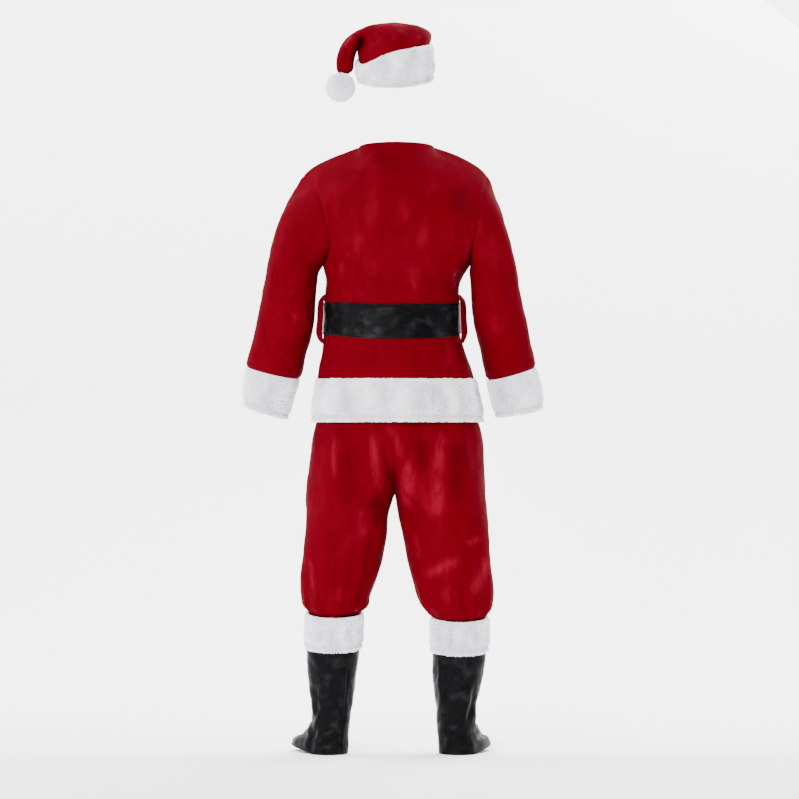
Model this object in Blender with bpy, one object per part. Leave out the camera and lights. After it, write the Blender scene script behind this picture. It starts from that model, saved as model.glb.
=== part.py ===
"""Santa suit in the pose of a standing wearer: hat, belted jacket, trousers and boot covers.

The scene is in metres with +Z up. The front faces -Y and the wearer's left is +X. The origin lies on
the centre line at shoulder height. All sizes below are in millimetres, and a drop is measured down
from the origin. Each piece of cloth is a thin closed wall: a grid of points on its outer face, and the
same points moved in along the normals. Panels that meet share the points and normals of their seam.
"""

import math

import bmesh
import bpy
import numpy as np

MM = 0.001

# Cloth and gaps
VELOUR_THICK = 3.0
LEATHER_THICK = 2.0
BELT_THICK = 2.6
PLUSH_ABOVE = 6.0
PLUSH_BELOW = 2.0
SEAM_GAP = 0.4
REST_GAP = 0.4

# A section is an ellipse whose sine and cosine are raised to this power, which squares it slightly
SECTION_POWER = 0.87

# Counts of grid cells
COAT_HALF_CELLS = 20
YOKE_CELLS = 9
SHOULDER_CELLS = 6
SLEEVE_CELLS = 11
LEG_CELLS = 36
BOOT_CELLS = 24
HAT_CELLS = 20
HAT_VELOUR_THICK = 2.0
HAT_PLUSH_ABOVE = 8.0

# Jacket body: drop, centre x, half width, back depth, front depth, sag at the back and front
COAT_SECTIONS = (
    (285, -6, 180, 122, 132, 0),
    (318, 1, 166, 124, 134, 0),
    (345, 5, 163, 128, 136, 2),
    (374, 5, 166, 121, 128, 6),
    (416, 5, 166, 120, 127, 6),
    (458, 5, 168, 122, 129, 6),
    (490, 1, 174, 130, 134, 3),
    (525, -2, 183, 136, 139, 0),
    (560, -5, 190, 141, 143, 0),
    (612, -7, 200, 146, 148, 0),
    (664, -8, 207, 150, 151, 0),
)
UNDERARM_LEAN = 0.5
BELT_TOP_DROP = 374
BELT_BOTTOM_DROP = 458
COAT_DROPS = (285, 318, 345, 374, 416, 458, 490, 525, 560)
TRIM_DROPS = (560, 595, 630, 664)
SKIRT_FOLDS = 8
SKIRT_FOLD_HEIGHT = 4.0

# Armhole, from underarm to shoulder: share of the way, x, y at the back, z
ARMHOLE_LEFT = (
    (0.00, 174, 0, -285),
    (0.25, 157, 72, -240),
    (0.45, 164, 86, -191),
    (0.62, 175, 77, -149),
    (0.80, 191, 50, -105),
    (1.00, 225, 0, -64),
)
ARMHOLE_RIGHT = (
    (0.00, -186, 0, -285),
    (0.25, -190, 72, -240),
    (0.45, -203, 86, -191),
    (0.62, -211, 77, -149),
    (0.80, -220, 50, -105),
    (1.00, -231, 0, -65),
)

# Shoulder seam, from the shoulder point to the neck: share of the way, left x, right x, z
SHOULDER = (
    (0.00, 225, -231, -64),
    (0.18, 203, -211, -44),
    (0.42, 169, -181, -25),
    (0.75, 120, -137, -5),
    (1.00, 85, -97, 8),
)
NECK_X = -6
NECK_HALF_WIDTH = 91
NECK_BACK = (58, 17)
NECK_FRONT = (-84, -42)

# Centre lines of the yoke, from underarm to neck: share of the way, y, z
BACK_LINE = (
    (0.00, 122, -285),
    (0.35, 127, -185),
    (0.70, 108, -78),
    (1.00, 58, 17),
)
FRONT_LINE = (
    (0.00, -132, -285),
    (0.40, -131, -185),
    (0.75, -110, -100),
    (1.00, -84, -42),
)

# Sleeves after the armhole: outer x, outer z, inner x, inner z, centre y, half depth
SLEEVE_LEFT = (
    (272, -147, 184, -301, 4, 76),
    (299, -223, 188, -327, 8, 66),
    (312, -292, 191, -370, 9, 63),
    (326, -365, 194, -414, 2, 62),
    (347, -461, 206, -472, -26, 62),
    (361, -530, 236, -559, -60, 60),
)
SLEEVE_RIGHT = (
    (-260, -142, -186, -307, 4, 76),
    (-284, -220, -187, -331, 8, 66),
    (-301, -299, -189, -370, 9, 63),
    (-313, -362, -191, -402, 2, 62),
    (-331, -440, -203, -460, -26, 62),
    (-346, -531, -233, -562, -60, 60),
)
CUFF_LEFT = (
    (361, -530, 236, -559, -60, 60),
    (367, -578, 245, -610, -73, 59),
    (369, -627, 258, -660, -86, 56),
)
CUFF_RIGHT = (
    (-346, -531, -233, -562, -60, 60),
    (-361, -582, -238, -608, -73, 59),
    (-365, -634, -248, -656, -86, 56),
)

# Trousers down to the crotch: drop, left x, right x, back depth, front depth,
# share closed toward the crotch
SEAT_SECTIONS = (
    (388, 166.6, -156.6, 114.8, 119.0, 0.00),
    (440, 166.6, -156.6, 114.8, 119.0, 0.00),
    (520, 168, -166, 121, 125, 0.00),
    (600, 179, -190, 131, 129, 0.05),
    (664, 190, -204, 134, 131, 0.14),
    (710, 201, -216, 134, 130, 0.28),
    (760, 207, -219, 130, 126, 0.50),
    (805, 212, -222, 123, 119, 0.76),
    (842, 216, -224, 118, 113, 1.00),
)
CROTCH_X = -2

# Trouser legs below the crotch: drop, inner x, outer x, back depth, front depth,
# slope to the back, height of the gathers
LEG_LEFT = (
    (842, -2, 216, 118, 113, 0, 0),
    (888, 13, 216, 109, 105, 0, 0),
    (945, 19, 219, 101, 98, 0, 0),
    (1005, 32, 223, 94, 91, 0, 0),
    (1058, 47, 228, 88, 85, 3, 0.5),
    (1095, 60, 226, 82, 80, 7, 1.5),
    (1118, 72, 214, 72, 71, 10, 2.5),
    (1133, 92, 204, 56, 56, 10, 2.8),
    (1155, 93, 204, 55.5, 55.5, 10, 2.8),
    (1185, 94, 204, 55, 55, 10, 2.8),
)
LEG_RIGHT = (
    (842, -2, -224, 118, 113, 0, 0),
    (888, -10, -230, 109, 105, 0, 0),
    (945, -23, -234, 101, 98, 0, 0),
    (1005, -34, -238, 94, 91, 0, 0),
    (1058, -48, -243, 88, 85, 3, 0.5),
    (1100, -60, -242, 82, 80, 7, 1.5),
    (1127, -80, -229, 72, 71, 10, 2.5),
    (1143, -103.4, -214.6, 55.6, 55.6, 10, 2.8),
    (1165, -103.6, -214.4, 55.4, 55.4, 10, 2.8),
    (1195, -104, -214, 55, 55, 10, 2.8),
)
LEG_GATHERS = 12

# Soft folds down each leg: height, the first and last drop, the length over which they fade
LEG_FOLD_HEIGHT = 3.2
LEG_FOLD_TOP = 842
LEG_FOLD_BOTTOM = 1118
LEG_FOLD_FADE = 110

# Boot covers: drop, centre x, half width across the foot, reach to the toe, reach to the heel,
# slope to the back, rise of the edge over the instep
BOOT_LEFT = (
    (1133, 148, 62.7, 62.7, 62.7, 10, 0),
    (1178, 149, 62.6, 62.6, 62.6, 10, 0),
    (1223, 151, 62.0, 62.0, 62.0, 10, 0),
    (1275, 153, 57.5, 57.5, 57.5, 6, 0),
    (1318, 152, 54.0, 54.0, 54.0, 3, 0),
    (1362, 152, 49.5, 50.0, 50.0, 0, 0),
    (1398, 154, 47.0, 54.0, 47.0, 0, 2),
    (1425, 156, 46.0, 74.0, 46.0, 0, 6),
    (1450, 158, 46.0, 108.0, 45.0, 0, 11),
    (1477, 160, 48.0, 140.0, 46.0, 0, 16),
)
BOOT_RIGHT = (
    (1143, -159, 61.7, 61.7, 61.7, 10, 0),
    (1188, -159, 61.8, 61.8, 61.8, 10, 0),
    (1232, -158, 62.0, 62.0, 62.0, 10, 0),
    (1278, -155, 59.0, 59.0, 59.0, 6, 0),
    (1318, -153, 55.0, 55.0, 55.0, 3, 0),
    (1362, -152, 49.5, 50.0, 50.0, 0, 0),
    (1398, -152, 48.0, 56.0, 48.0, 0, 2),
    (1425, -153, 47.0, 78.0, 47.0, 0, 6),
    (1450, -155, 46.0, 112.0, 45.0, 0, 11),
    (1477, -157, 48.0, 144.0, 46.0, 0, 16),
)
BOOT_TURN_LEFT = 38
BOOT_TURN_RIGHT = -30
BOOT_PLUSH_ROWS = 3
BOOT_PLUSH_ABOVE = 9.0

# Hat: right or upper x, its z, left or lower x, its z, centre y, half depth, slope to the back
HAT_BAND = (
    (-88, 264, 88, 233, 0, 98, -10),
    (-92, 221, 88, 203, 0, 101, -16),
    (-94, 177, 86, 172, 0, 104, -22),
)
HAT_CONE = (
    (135, 189.7, 127, 189.7, 20, 5, 0),
    (139, 205, 106, 205, 20, 17, 0),
    (139, 227, 101, 222, 19, 22, 0),
    (131, 252, 95, 242, 17, 27, 0),
    (113, 274, 88, 259, 14, 33, 0),
    (91, 290, 80, 270, 10, 38, 0),
    (62, 304, 76, 277, 6, 45, 0),
    (25, 311, 75, 269, 3, 54, -2),
    (-18, 311, 80, 261, 1, 65, -4),
    (-58, 304, 85, 252, 0, 78, -6),
    (-86, 287, 89, 243, 0, 90, -8),
    (-88, 264, 88, 233, 0, 98, -10),
)
HAT_SAG = 5
HAT_SAG_LEFT = 20
HAT_SAG_TURN = 2.55
HAT_SAG_SPREAD = 0.62
POMPOM_CENTRE = (131, 20, 152.4)
POMPOM_RADIUS = 37.0

# Belt furniture, placed by cells round the jacket and along its height
FRONT_COLUMN = 30
STRAP_START = 31
STRAP_LAP_CELLS = 4
LOOP_CELLS_BACK = 1
LOOP_HALF_CELLS = 0.6
LOOP_PATH = (
    (349, 0.4),
    (358, 5.0),
    (370, 12.0),
    (416, 14.0),
    (462, 12.0),
    (473, 5.0),
    (483, 0.4),
)
LOOP_THICK = 4.0
BUCKLE_HALF_CELLS = 1.9
BUCKLE_BAR_CELLS = 0.42
BUCKLE_TOP_DROP = 367
BUCKLE_BOTTOM_DROP = 465
BUCKLE_BAR = 11
BUCKLE_THICK = 4.0
PRONG_HALF_HEIGHT = 3.5
PRONG_THICK = 3.0

# Materials: base colour, roughness, metallic
LOOKS = {
    "velour": ((0.30, 0.004, 0.010, 1), 0.85, 0.0),
    "plush": ((0.86, 0.86, 0.88, 1), 0.95, 0.0),
    "faux_leather": ((0.018, 0.018, 0.020, 1), 0.38, 0.0),
    "buckle_metal": ((0.55, 0.55, 0.56, 1), 0.32, 1.0),
}


# Tables and vectors

def smooth(rows, at):
    """Read a table at new values of its first column, on a smooth curve through its rows."""
    rows = np.array(rows, dtype=float)
    key = rows[:, 0]
    slope = np.gradient(rows, key, axis=0)
    at = np.clip(np.atleast_1d(np.array(at, dtype=float)), key[0], key[-1])
    low = np.clip(np.searchsorted(key, at) - 1, 0, len(key) - 2)
    step = (key[low + 1] - key[low])[:, None]
    s = (at[:, None] - key[low][:, None]) / step
    start = (2 * s**3 - 3 * s**2 + 1) * rows[low] + (s**3 - 2 * s**2 + s) * step * slope[low]
    end = (3 * s**2 - 2 * s**3) * rows[low + 1] + (s**3 - s**2) * step * slope[low + 1]
    return (start + end)[:, 1:]


def ease(value):
    """Go from 0 to 1 with level ends."""
    value = np.clip(value, 0.0, 1.0)
    return value * value * (3 - 2 * value)


def soften(value):
    """Square a sine or cosine slightly, and keep its sign."""
    return np.sign(value) * np.abs(value) ** SECTION_POWER


def unit(vectors):
    return vectors / np.linalg.norm(vectors, axis=-1, keepdims=True)


def grid_normals(grid, wrap=False):
    """Outward unit normals of a grid whose rows are sections of a tube, or parts of such sections."""
    if wrap:
        across = np.roll(grid, -1, axis=1) - np.roll(grid, 1, axis=1)
    else:
        across = np.gradient(grid, axis=1)
    normal = unit(np.cross(np.gradient(grid, axis=0), across))
    outward = grid - grid.mean(axis=1, keepdims=True)
    return normal if np.sum(normal * outward) > 0 else -normal


def share(*edges):
    """Give the edges that lie on one seam the mean of their normals."""
    mean = unit(sum(edges))
    for edge in edges:
        edge[...] = mean


# Walls

def edge_shift(line, normal, inside, closed=False):
    """Half the seam's gap, in the cloth and square to the seam, toward the inside of the panel."""
    if closed:
        along = np.roll(line, -1, axis=0) - np.roll(line, 1, axis=0)
    else:
        along = np.gradient(line, axis=0)
    side = unit(np.cross(along, normal))
    side *= np.sign(np.sum(side * (inside - line), axis=-1, keepdims=True))
    return side * SEAM_GAP / 2


def build_wall(name, outer, inner, look, wrap=False):
    """Close the space between two grids of the same size into one solid.

    Rim faces are split along their shorter diagonal, so that two rims on one seam are split alike.
    """
    rows, columns = outer.shape[:2]
    face = np.arange(rows * columns).reshape(rows, columns)
    if wrap:
        face = np.hstack([face, face[:, :1]])
    back = face + rows * columns
    quads = [
        np.stack([face[:-1, :-1], face[:-1, 1:], face[1:, 1:], face[1:, :-1]], axis=-1),
        np.stack([back[:-1, :-1], back[1:, :-1], back[1:, 1:], back[:-1, 1:]], axis=-1),
        np.stack([face[0, :-1], back[0, :-1], back[0, 1:], face[0, 1:]], axis=-1),
        np.stack([face[-1, :-1], face[-1, 1:], back[-1, 1:], back[-1, :-1]], axis=-1),
    ]
    if not wrap:
        quads.append(np.stack([face[:-1, 0], face[1:, 0], back[1:, 0], back[:-1, 0]], axis=-1))
        quads.append(np.stack([face[:-1, -1], back[:-1, -1], back[1:, -1], face[1:, -1]], axis=-1))
    points = np.concatenate([outer.reshape(-1, 3), inner.reshape(-1, 3)]) * MM
    skins = np.concatenate([quad.reshape(-1, 4) for quad in quads[:2]])
    rims = np.concatenate([quad.reshape(-1, 4) for quad in quads[2:]])
    first = np.linalg.norm(points[rims[:, 0]] - points[rims[:, 2]], axis=1)
    second = np.linalg.norm(points[rims[:, 1]] - points[rims[:, 3]], axis=1)
    rims = np.where((first <= second)[:, None], rims, np.roll(rims, 1, axis=1))
    quads = np.concatenate([skins, rims])
    triangles = np.concatenate([quads[:, [0, 1, 2]], quads[:, [0, 2, 3]]])
    mesh = bpy.data.meshes.new(name)
    mesh.from_pydata(points.tolist(), [], triangles.tolist())
    finish(name, mesh, look)


def finish(name, mesh, look):
    """Turn a mesh's faces outward, shade it and add it to the scene as one object."""
    work = bmesh.new()
    work.from_mesh(mesh)
    bmesh.ops.recalc_face_normals(work, faces=work.faces[:])
    work.to_mesh(mesh)
    work.free()
    mesh.shade_smooth()
    mesh.set_sharp_from_angle(angle=math.radians(50))
    mesh.materials.append(bpy.data.materials[look])
    bpy.context.scene.collection.objects.link(bpy.data.objects.new(name, mesh))


def panel(name, grid, normal, look, above=0.0, below=VELOUR_THICK, seams="", turn=None, wrap=False,
          below_top=None):
    """Build one cut piece from its grid, and draw its seam edges back by half a gap.

    The seams are named by T, B, L and R for the top, bottom, first and last edge. Where a side edge
    turns a corner, as at the underarm or the crotch, turn is the row of that corner. Points on the
    piece's side of its top seam are given as below_top where its second row doesn't tell the side.
    """
    shift = np.zeros_like(grid)
    middle = grid.shape[1] // 2
    if "T" in seams:
        shift[0] += edge_shift(grid[0], normal[0], grid[1] if below_top is None else below_top, wrap)
    if "B" in seams:
        shift[-1] += edge_shift(grid[-1], normal[-1], grid[-2], wrap)
    stretches = [slice(None)] if turn is None else [slice(0, turn + 1), slice(turn, None)]
    for mark, column in (("L", 0), ("R", -1)):
        if mark in seams:
            for rows in stretches:
                line = grid[rows, column]
                shift[rows, column] += edge_shift(line, normal[rows, column], grid[rows, middle])
    build_wall(name, grid + normal * above + shift, grid - normal * below + shift, look, wrap)


# Jacket

def coat_ring(drop, angle):
    """Points of the jacket's section at one drop. The angle runs from the left side over the back."""
    centre, half_width, back, front, sag = smooth(COAT_SECTIONS, drop)[0]
    depth = np.where(np.sin(angle) >= 0, back, front)
    height = SKIRT_FOLD_HEIGHT * ease((drop - BELT_BOTTOM_DROP) / 120)
    fold = height * np.sin(SKIRT_FOLDS * angle + 0.7 * np.sin(2 * angle))
    x = centre + (half_width + fold) * soften(np.cos(angle))
    y = (depth + fold) * soften(np.sin(angle))
    z = -drop - sag * np.sin(angle) ** 2
    return np.stack([x, y, z], axis=-1)


def armhole(table, share_up, sign):
    """Points of half an armhole, at the back for a sign of 1 and at the front for -1."""
    points = smooth(table, share_up)
    points[:, 1] *= sign
    return points


def top_line(sign):
    """Shoulder seam, neck and shoulder seam, from the left shoulder to the right one."""
    at = np.linspace(0, 1, SHOULDER_CELLS + 1)
    left_x, right_x, z = smooth(SHOULDER, at).T
    left = np.stack([left_x, np.zeros_like(at), z], axis=-1)
    right = np.stack([right_x, np.zeros_like(at), z], axis=-1)[::-1]
    neck_y, neck_z = NECK_BACK if sign > 0 else NECK_FRONT
    turn = np.linspace(0, math.pi, COAT_HALF_CELLS - 2 * SHOULDER_CELLS + 1)[1:-1]
    side_z = left[-1, 2]
    neck = np.stack([
        NECK_X + NECK_HALF_WIDTH * np.cos(turn),
        neck_y * np.sin(turn),
        side_z + (neck_z - side_z) * np.sin(turn),
    ], axis=-1)
    return np.concatenate([left, neck, right])


def yoke(sign):
    """Rows from the shoulders down to the underarm, from the left side to the right."""
    up = np.linspace(1, 0, YOKE_CELLS + 1)
    left = armhole(ARMHOLE_LEFT, up, sign)
    right = armhole(ARMHOLE_RIGHT, up, sign)
    line_y, line_z = smooth(BACK_LINE if sign > 0 else FRONT_LINE, up).T
    centre_x = NECK_X + 0 * up
    centre = np.stack([centre_x, line_y, line_z], axis=-1)
    turn = np.linspace(0, math.pi, COAT_HALF_CELLS + 1)
    cosine = soften(np.cos(turn))[None, :, None]
    sine = soften(np.sin(turn))[None, :, None]
    middle = (left + right)[:, None] / 2
    rows = middle + (left - right)[:, None] / 2 * cosine + (centre[:, None] - middle) * sine
    lift = (up ** 2)[:, None, None]
    return rows + lift * (top_line(sign) - rows[0])[None]


def coat_half(sign):
    """The whole back or front of the jacket with its trim, from the shoulders to the hem."""
    start, stop = (0, math.pi) if sign > 0 else (2 * math.pi, math.pi)
    angle = np.linspace(start, stop, COAT_HALF_CELLS + 1)
    lower = np.stack([coat_ring(drop, angle) for drop in COAT_DROPS + TRIM_DROPS[1:]])
    return np.concatenate([yoke(sign)[:-1], lower])


def armhole_ring(back, front, side):
    """Join the side edges of back and front into a ring: shoulder, back, underarm, front."""
    column = 0 if side > 0 else -1
    return np.concatenate([back[:YOKE_CELLS + 1, column], front[YOKE_CELLS - 1:0:-1, column]])


def limb_ring(row, count):
    """One section of a sleeve, from its outer point over the back to its inner point and the front."""
    outer_x, outer_z, inner_x, inner_z, y, depth = row
    turn = np.linspace(0, 2 * math.pi, count, endpoint=False)[:, None]
    outer = np.array([outer_x, y, outer_z])
    inner = np.array([inner_x, y, inner_z])
    return (outer + inner) / 2 + (outer - inner) / 2 * np.cos(turn) + np.array([0, depth, 0]) * np.sin(turn)


def loft(rings, cells):
    """Run a smooth surface through rings, and cut it into a number of rows."""
    rings = np.array(rings)
    table = np.hstack([np.arange(len(rings))[:, None], rings.reshape(len(rings), -1)])
    return smooth(table, np.linspace(0, len(rings) - 1, cells + 1)).reshape(cells + 1, -1, 3)


def build_jacket():
    """Back, two fronts, three lengths of trim, two sleeves and two cuffs."""
    back = coat_half(1)
    front = coat_half(-1)
    back_normal = grid_normals(back)
    front_normal = grid_normals(front)
    underarm = YOKE_CELLS
    hem = YOKE_CELLS + len(COAT_DROPS) - 1
    for column in (0, -1):
        share(back_normal[underarm:, column], front_normal[underarm:, column])
    for columns in (slice(0, SHOULDER_CELLS + 1), slice(-SHOULDER_CELLS - 1, None)):
        share(back_normal[0, columns], front_normal[0, columns])
    sleeves = (
        ("left", 1, SLEEVE_LEFT, CUFF_LEFT),
        ("right", -1, SLEEVE_RIGHT, CUFF_RIGHT),
    )
    for side_name, side, sleeve_rows, cuff_rows in sleeves:
        build_sleeve(side_name, side, sleeve_rows, cuff_rows, (back, back_normal), (front, front_normal))
    build_coat_panels("back", back, back_normal, hem, "LR")
    middle = COAT_HALF_CELLS // 2
    left = slice(0, middle + 2)
    right = slice(middle - 1, None)
    build_coat_panels("front_left", front[:, left], front_normal[:, left], hem, "L")
    tucked = front - front_normal * tuck_depth(len(front), hem)[..., None]
    build_coat_panels("front_right", tucked[:, right], front_normal[:, right], hem, "R")


def tuck_depth(rows, hem):
    """How far the right front lies under the left one, by row and column of the front."""
    column = np.arange(COAT_HALF_CELLS + 1)
    reach = ease((COAT_HALF_CELLS / 2 + 3 - column) / 2)
    belt_bottom = YOKE_CELLS + COAT_DROPS.index(BELT_BOTTOM_DROP)
    lower = ease((np.arange(rows) - belt_bottom) / (hem - belt_bottom))
    velour = VELOUR_THICK + REST_GAP
    plush = PLUSH_ABOVE + PLUSH_BELOW + REST_GAP
    return (velour + (plush - velour) * lower)[:, None] * reach[None]


def build_coat_panels(name, grid, normal, hem, side_seams):
    """One velour panel of the jacket and the length of trim below it."""
    panel("jacket_" + name, grid[:hem + 1], normal[:hem + 1], "velour",
          seams="TB" + side_seams, turn=YOKE_CELLS)
    panel("hem_trim_" + name, grid[hem:], normal[hem:], "plush",
          above=PLUSH_ABOVE, below=PLUSH_BELOW, seams="T" + side_seams)


def build_sleeve(side_name, side, sleeve_rows, cuff_rows, back, front):
    """A sleeve from the armhole to the cuff, with the plush cuff below it."""
    count = 2 * YOKE_CELLS
    ring = armhole_ring(back[0], front[0], side)
    rings = [ring] + [limb_ring(row, count) for row in sleeve_rows]
    sleeve = loft(rings, SLEEVE_CELLS)
    cuff = np.array([limb_ring(row, count) for row in cuff_rows])
    whole = np.concatenate([sleeve, cuff[1:]])
    normal = grid_normals(whole, wrap=True)
    seam = armhole_ring(back[1], front[1], side)
    column = 0 if side > 0 else -1
    seam[0] = back[1][0, column] + front[1][0, column]
    seam[YOKE_CELLS] = back[1][YOKE_CELLS, column]
    seam = seam + normal[0]
    seam[YOKE_CELLS - 1:YOKE_CELLS + 2, 2] -= UNDERARM_LEAN
    seam = unit(seam)
    normal[0] = seam
    back[1][:YOKE_CELLS + 1, column] = seam[:YOKE_CELLS + 1]
    front[1][:YOKE_CELLS + 1, column] = np.concatenate([seam[:1], seam[:YOKE_CELLS - 1:-1]])
    rows = SLEEVE_CELLS + 1
    away = ring + np.array([side * 100, 0, 0])
    panel("sleeve_" + side_name, whole[:rows], normal[:rows], "velour", seams="TB", wrap=True, below_top=away)
    panel("cuff_" + side_name, whole[rows - 1:], normal[rows - 1:], "plush",
          above=PLUSH_ABOVE, below=PLUSH_BELOW, seams="T", wrap=True)


# Belt

def whole_coat():
    """Closed rings of the jacket below the underarm, with their normals."""
    angle = np.linspace(0, 2 * math.pi, 2 * COAT_HALF_CELLS, endpoint=False)
    grid = np.stack([coat_ring(drop, angle) for drop in COAT_DROPS])
    return grid, grid_normals(grid, wrap=True)


def on_coat(coat, drop, column, out):
    """A point on the jacket's facets at a drop and a column, moved out by a distance."""
    grid, normal = coat
    drops = np.array(COAT_DROPS, dtype=float)
    row = int(np.clip(np.searchsorted(drops, drop) - 1, 0, len(drops) - 2))
    down = (drop - drops[row]) / (drops[row + 1] - drops[row])
    low = math.floor(column)
    along = column - low
    picks = [low % grid.shape[1], (low + 1) % grid.shape[1]]

    def read(field):
        upper = field[row, picks[0]] * (1 - along) + field[row, picks[1]] * along
        lower = field[row + 1, picks[0]] * (1 - along) + field[row + 1, picks[1]] * along
        return upper * (1 - down) + lower * down

    return read(grid) + read(normal) * out


def coat_piece(name, coat, places, look, out, thick, wrap=False):
    """A piece that lies on the jacket. Its places are rows of drop, column and extra distance out."""
    inner = np.array([[on_coat(coat, d, c, out + extra) for d, c, extra in row] for row in places])
    outer = np.array([[on_coat(coat, d, c, out + extra + thick) for d, c, extra in row] for row in places])
    build_wall(name, outer, inner, look, wrap)


def build_belt():
    """Strap with its end lapped over, square buckle with a prong, and two belt loops."""
    coat = whole_coat()
    lap = BELT_THICK + REST_GAP
    around = np.arange(STRAP_START, STRAP_START + 2 * COAT_HALF_CELLS + STRAP_LAP_CELLS + 1)
    rise = lap * ease((around - STRAP_START - 2 * COAT_HALF_CELLS + 2) / 2)
    drops = [drop for drop in COAT_DROPS if BELT_TOP_DROP <= drop <= BELT_BOTTOM_DROP]
    places = [[(drop, column, extra) for column, extra in zip(around, rise)] for drop in drops]
    coat_piece("belt_strap", coat, places, "faux_leather", REST_GAP, BELT_THICK)

    strap_out = REST_GAP + BELT_THICK + lap
    middle = (BELT_TOP_DROP + BELT_BOTTOM_DROP) / 2
    edges = []
    for inset in (0, 1):
        half = BUCKLE_HALF_CELLS - inset * BUCKLE_BAR_CELLS
        top = BUCKLE_TOP_DROP + inset * BUCKLE_BAR
        bottom = BUCKLE_BOTTOM_DROP - inset * BUCKLE_BAR
        edges.append(buckle_path(half, top, middle, bottom))
    coat_piece("belt_buckle", coat, edges, "buckle_metal", strap_out + REST_GAP, BUCKLE_THICK, wrap=True)

    reach = BUCKLE_HALF_CELLS - BUCKLE_BAR_CELLS / 2
    columns = [FRONT_COLUMN + step for step in (-reach, -1, 0, 1, reach)]
    places = [[(middle + side * PRONG_HALF_HEIGHT, column, 0) for column in columns] for side in (-1, 1)]
    prong_out = strap_out + BUCKLE_THICK + 2 * REST_GAP
    coat_piece("belt_prong", coat, places, "buckle_metal", prong_out, PRONG_THICK)

    for side_name, middle in (("left", LOOP_CELLS_BACK), ("right", COAT_HALF_CELLS - LOOP_CELLS_BACK)):
        columns = (middle - LOOP_HALF_CELLS, middle, middle + LOOP_HALF_CELLS)
        places = [[(drop, column, out) for column in columns] for drop, out in LOOP_PATH]
        coat_piece("belt_loop_" + side_name, coat, places, "velour", 0.0, LOOP_THICK)


def buckle_path(half, top, middle, bottom):
    """A rectangle round the front column, with points where the jacket's facets meet."""
    over = [(top, step, 0) for step in (-half, -1, 0, 1, half)]
    under = [(bottom, step, 0) for step in (half, 1, 0, -1, -half)]
    path = over + [(middle, half, 0)] + under + [(middle, -half, 0)]
    return [(drop, FRONT_COLUMN + step, extra) for drop, step, extra in path]


# Trousers

def seat_row(row, side):
    """Half a section above the crotch, from centre back round the side to centre front."""
    drop, left_x, right_x, back, front, closed = row
    reach = abs((left_x if side > 0 else right_x) - CROTCH_X)
    half = reach / (1 + closed)
    start = math.acos(min(1.0, closed ** (1 / SECTION_POWER)))
    turn = np.linspace(start, 2 * math.pi - start, LEG_CELLS + 1)
    x = CROTCH_X + side * (closed * half - half * soften(np.cos(turn)))
    y = np.where(np.sin(turn) >= 0, back, front) * soften(np.sin(turn))
    x[[0, -1]] = CROTCH_X
    return np.stack([x, y, np.full_like(x, -drop)], axis=-1)


def leg_fold(drop, turn):
    """Height of the soft folds of a leg: three broad waves and five narrow ones round it."""
    fade = ease((drop - LEG_FOLD_TOP) / LEG_FOLD_FADE) * ease((LEG_FOLD_BOTTOM - drop) / LEG_FOLD_FADE)
    return LEG_FOLD_HEIGHT * fade * (np.sin(3 * turn + 0.8) + 0.6 * np.sin(5 * turn - 0.5))


def leg_row(row):
    """A section below the crotch, from the inseam over the back and the side to the inseam."""
    drop, inner_x, outer_x, back, front, slope, gather = row
    turn = np.linspace(0, 2 * math.pi, LEG_CELLS + 1)
    ruffle = gather * np.cos(LEG_GATHERS * turn) + leg_fold(drop, turn)
    half = abs(outer_x - inner_x) / 2
    side = np.sign(outer_x - inner_x)
    x = (inner_x + outer_x) / 2 - side * (half + ruffle) * np.cos(turn)
    y = (np.where(np.sin(turn) >= 0, back, front) + ruffle) * np.sin(turn)
    z = -drop - slope * np.sin(turn)
    return np.stack([x, y, z], axis=-1)


def build_trousers():
    """Four panels that meet at centre back, centre front, the side seams and the inseams."""
    crotch = len(SEAT_SECTIONS) - 1
    halves = {}
    for side_name, side, leg_rows in (("left", 1, LEG_LEFT), ("right", -1, LEG_RIGHT)):
        seat = np.array([seat_row(row, side) for row in SEAT_SECTIONS])
        leg = np.array([leg_row(row) for row in leg_rows[1:]])
        grid = np.concatenate([seat, leg])
        halves[side_name] = (grid, grid_normals(grid))
    left = halves["left"][1]
    right = halves["right"][1]
    for column in (0, -1):
        share(left[:crotch, column], right[:crotch, column])
    for normal in (left, right):
        share(normal[crotch + 1:, 0], normal[crotch + 1:, -1])
        normal[crotch, [0, -1]] = (0, 0, -1)
    middle = LEG_CELLS // 2
    for side_name, (grid, normal) in halves.items():
        for part_name, columns in (("back", slice(0, middle + 1)), ("front", slice(middle, None))):
            panel("trouser_" + part_name + "_" + side_name, grid[:, columns], normal[:, columns], "velour",
                  seams="LR", turn=crotch)


# Boot covers

def boot_row(row, turn_out):
    """A section of a boot cover, from the heel seam round the outer side to the toe and back."""
    drop, centre, across, toe, heel, slope, rise = row
    turn = np.linspace(0, 2 * math.pi, BOOT_CELLS, endpoint=False)
    along = -np.cos(turn)
    forward = np.where(along > 0, toe, heel) * along
    sideways = across * np.sin(turn)
    angle = math.radians(turn_out)
    x = centre + forward * math.sin(angle) + sideways * math.cos(angle)
    y = -forward * math.cos(angle) + sideways * math.sin(angle)
    z = -drop - slope * y / heel + rise * np.maximum(along, 0)
    return np.stack([x, y, z], axis=-1)


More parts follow.
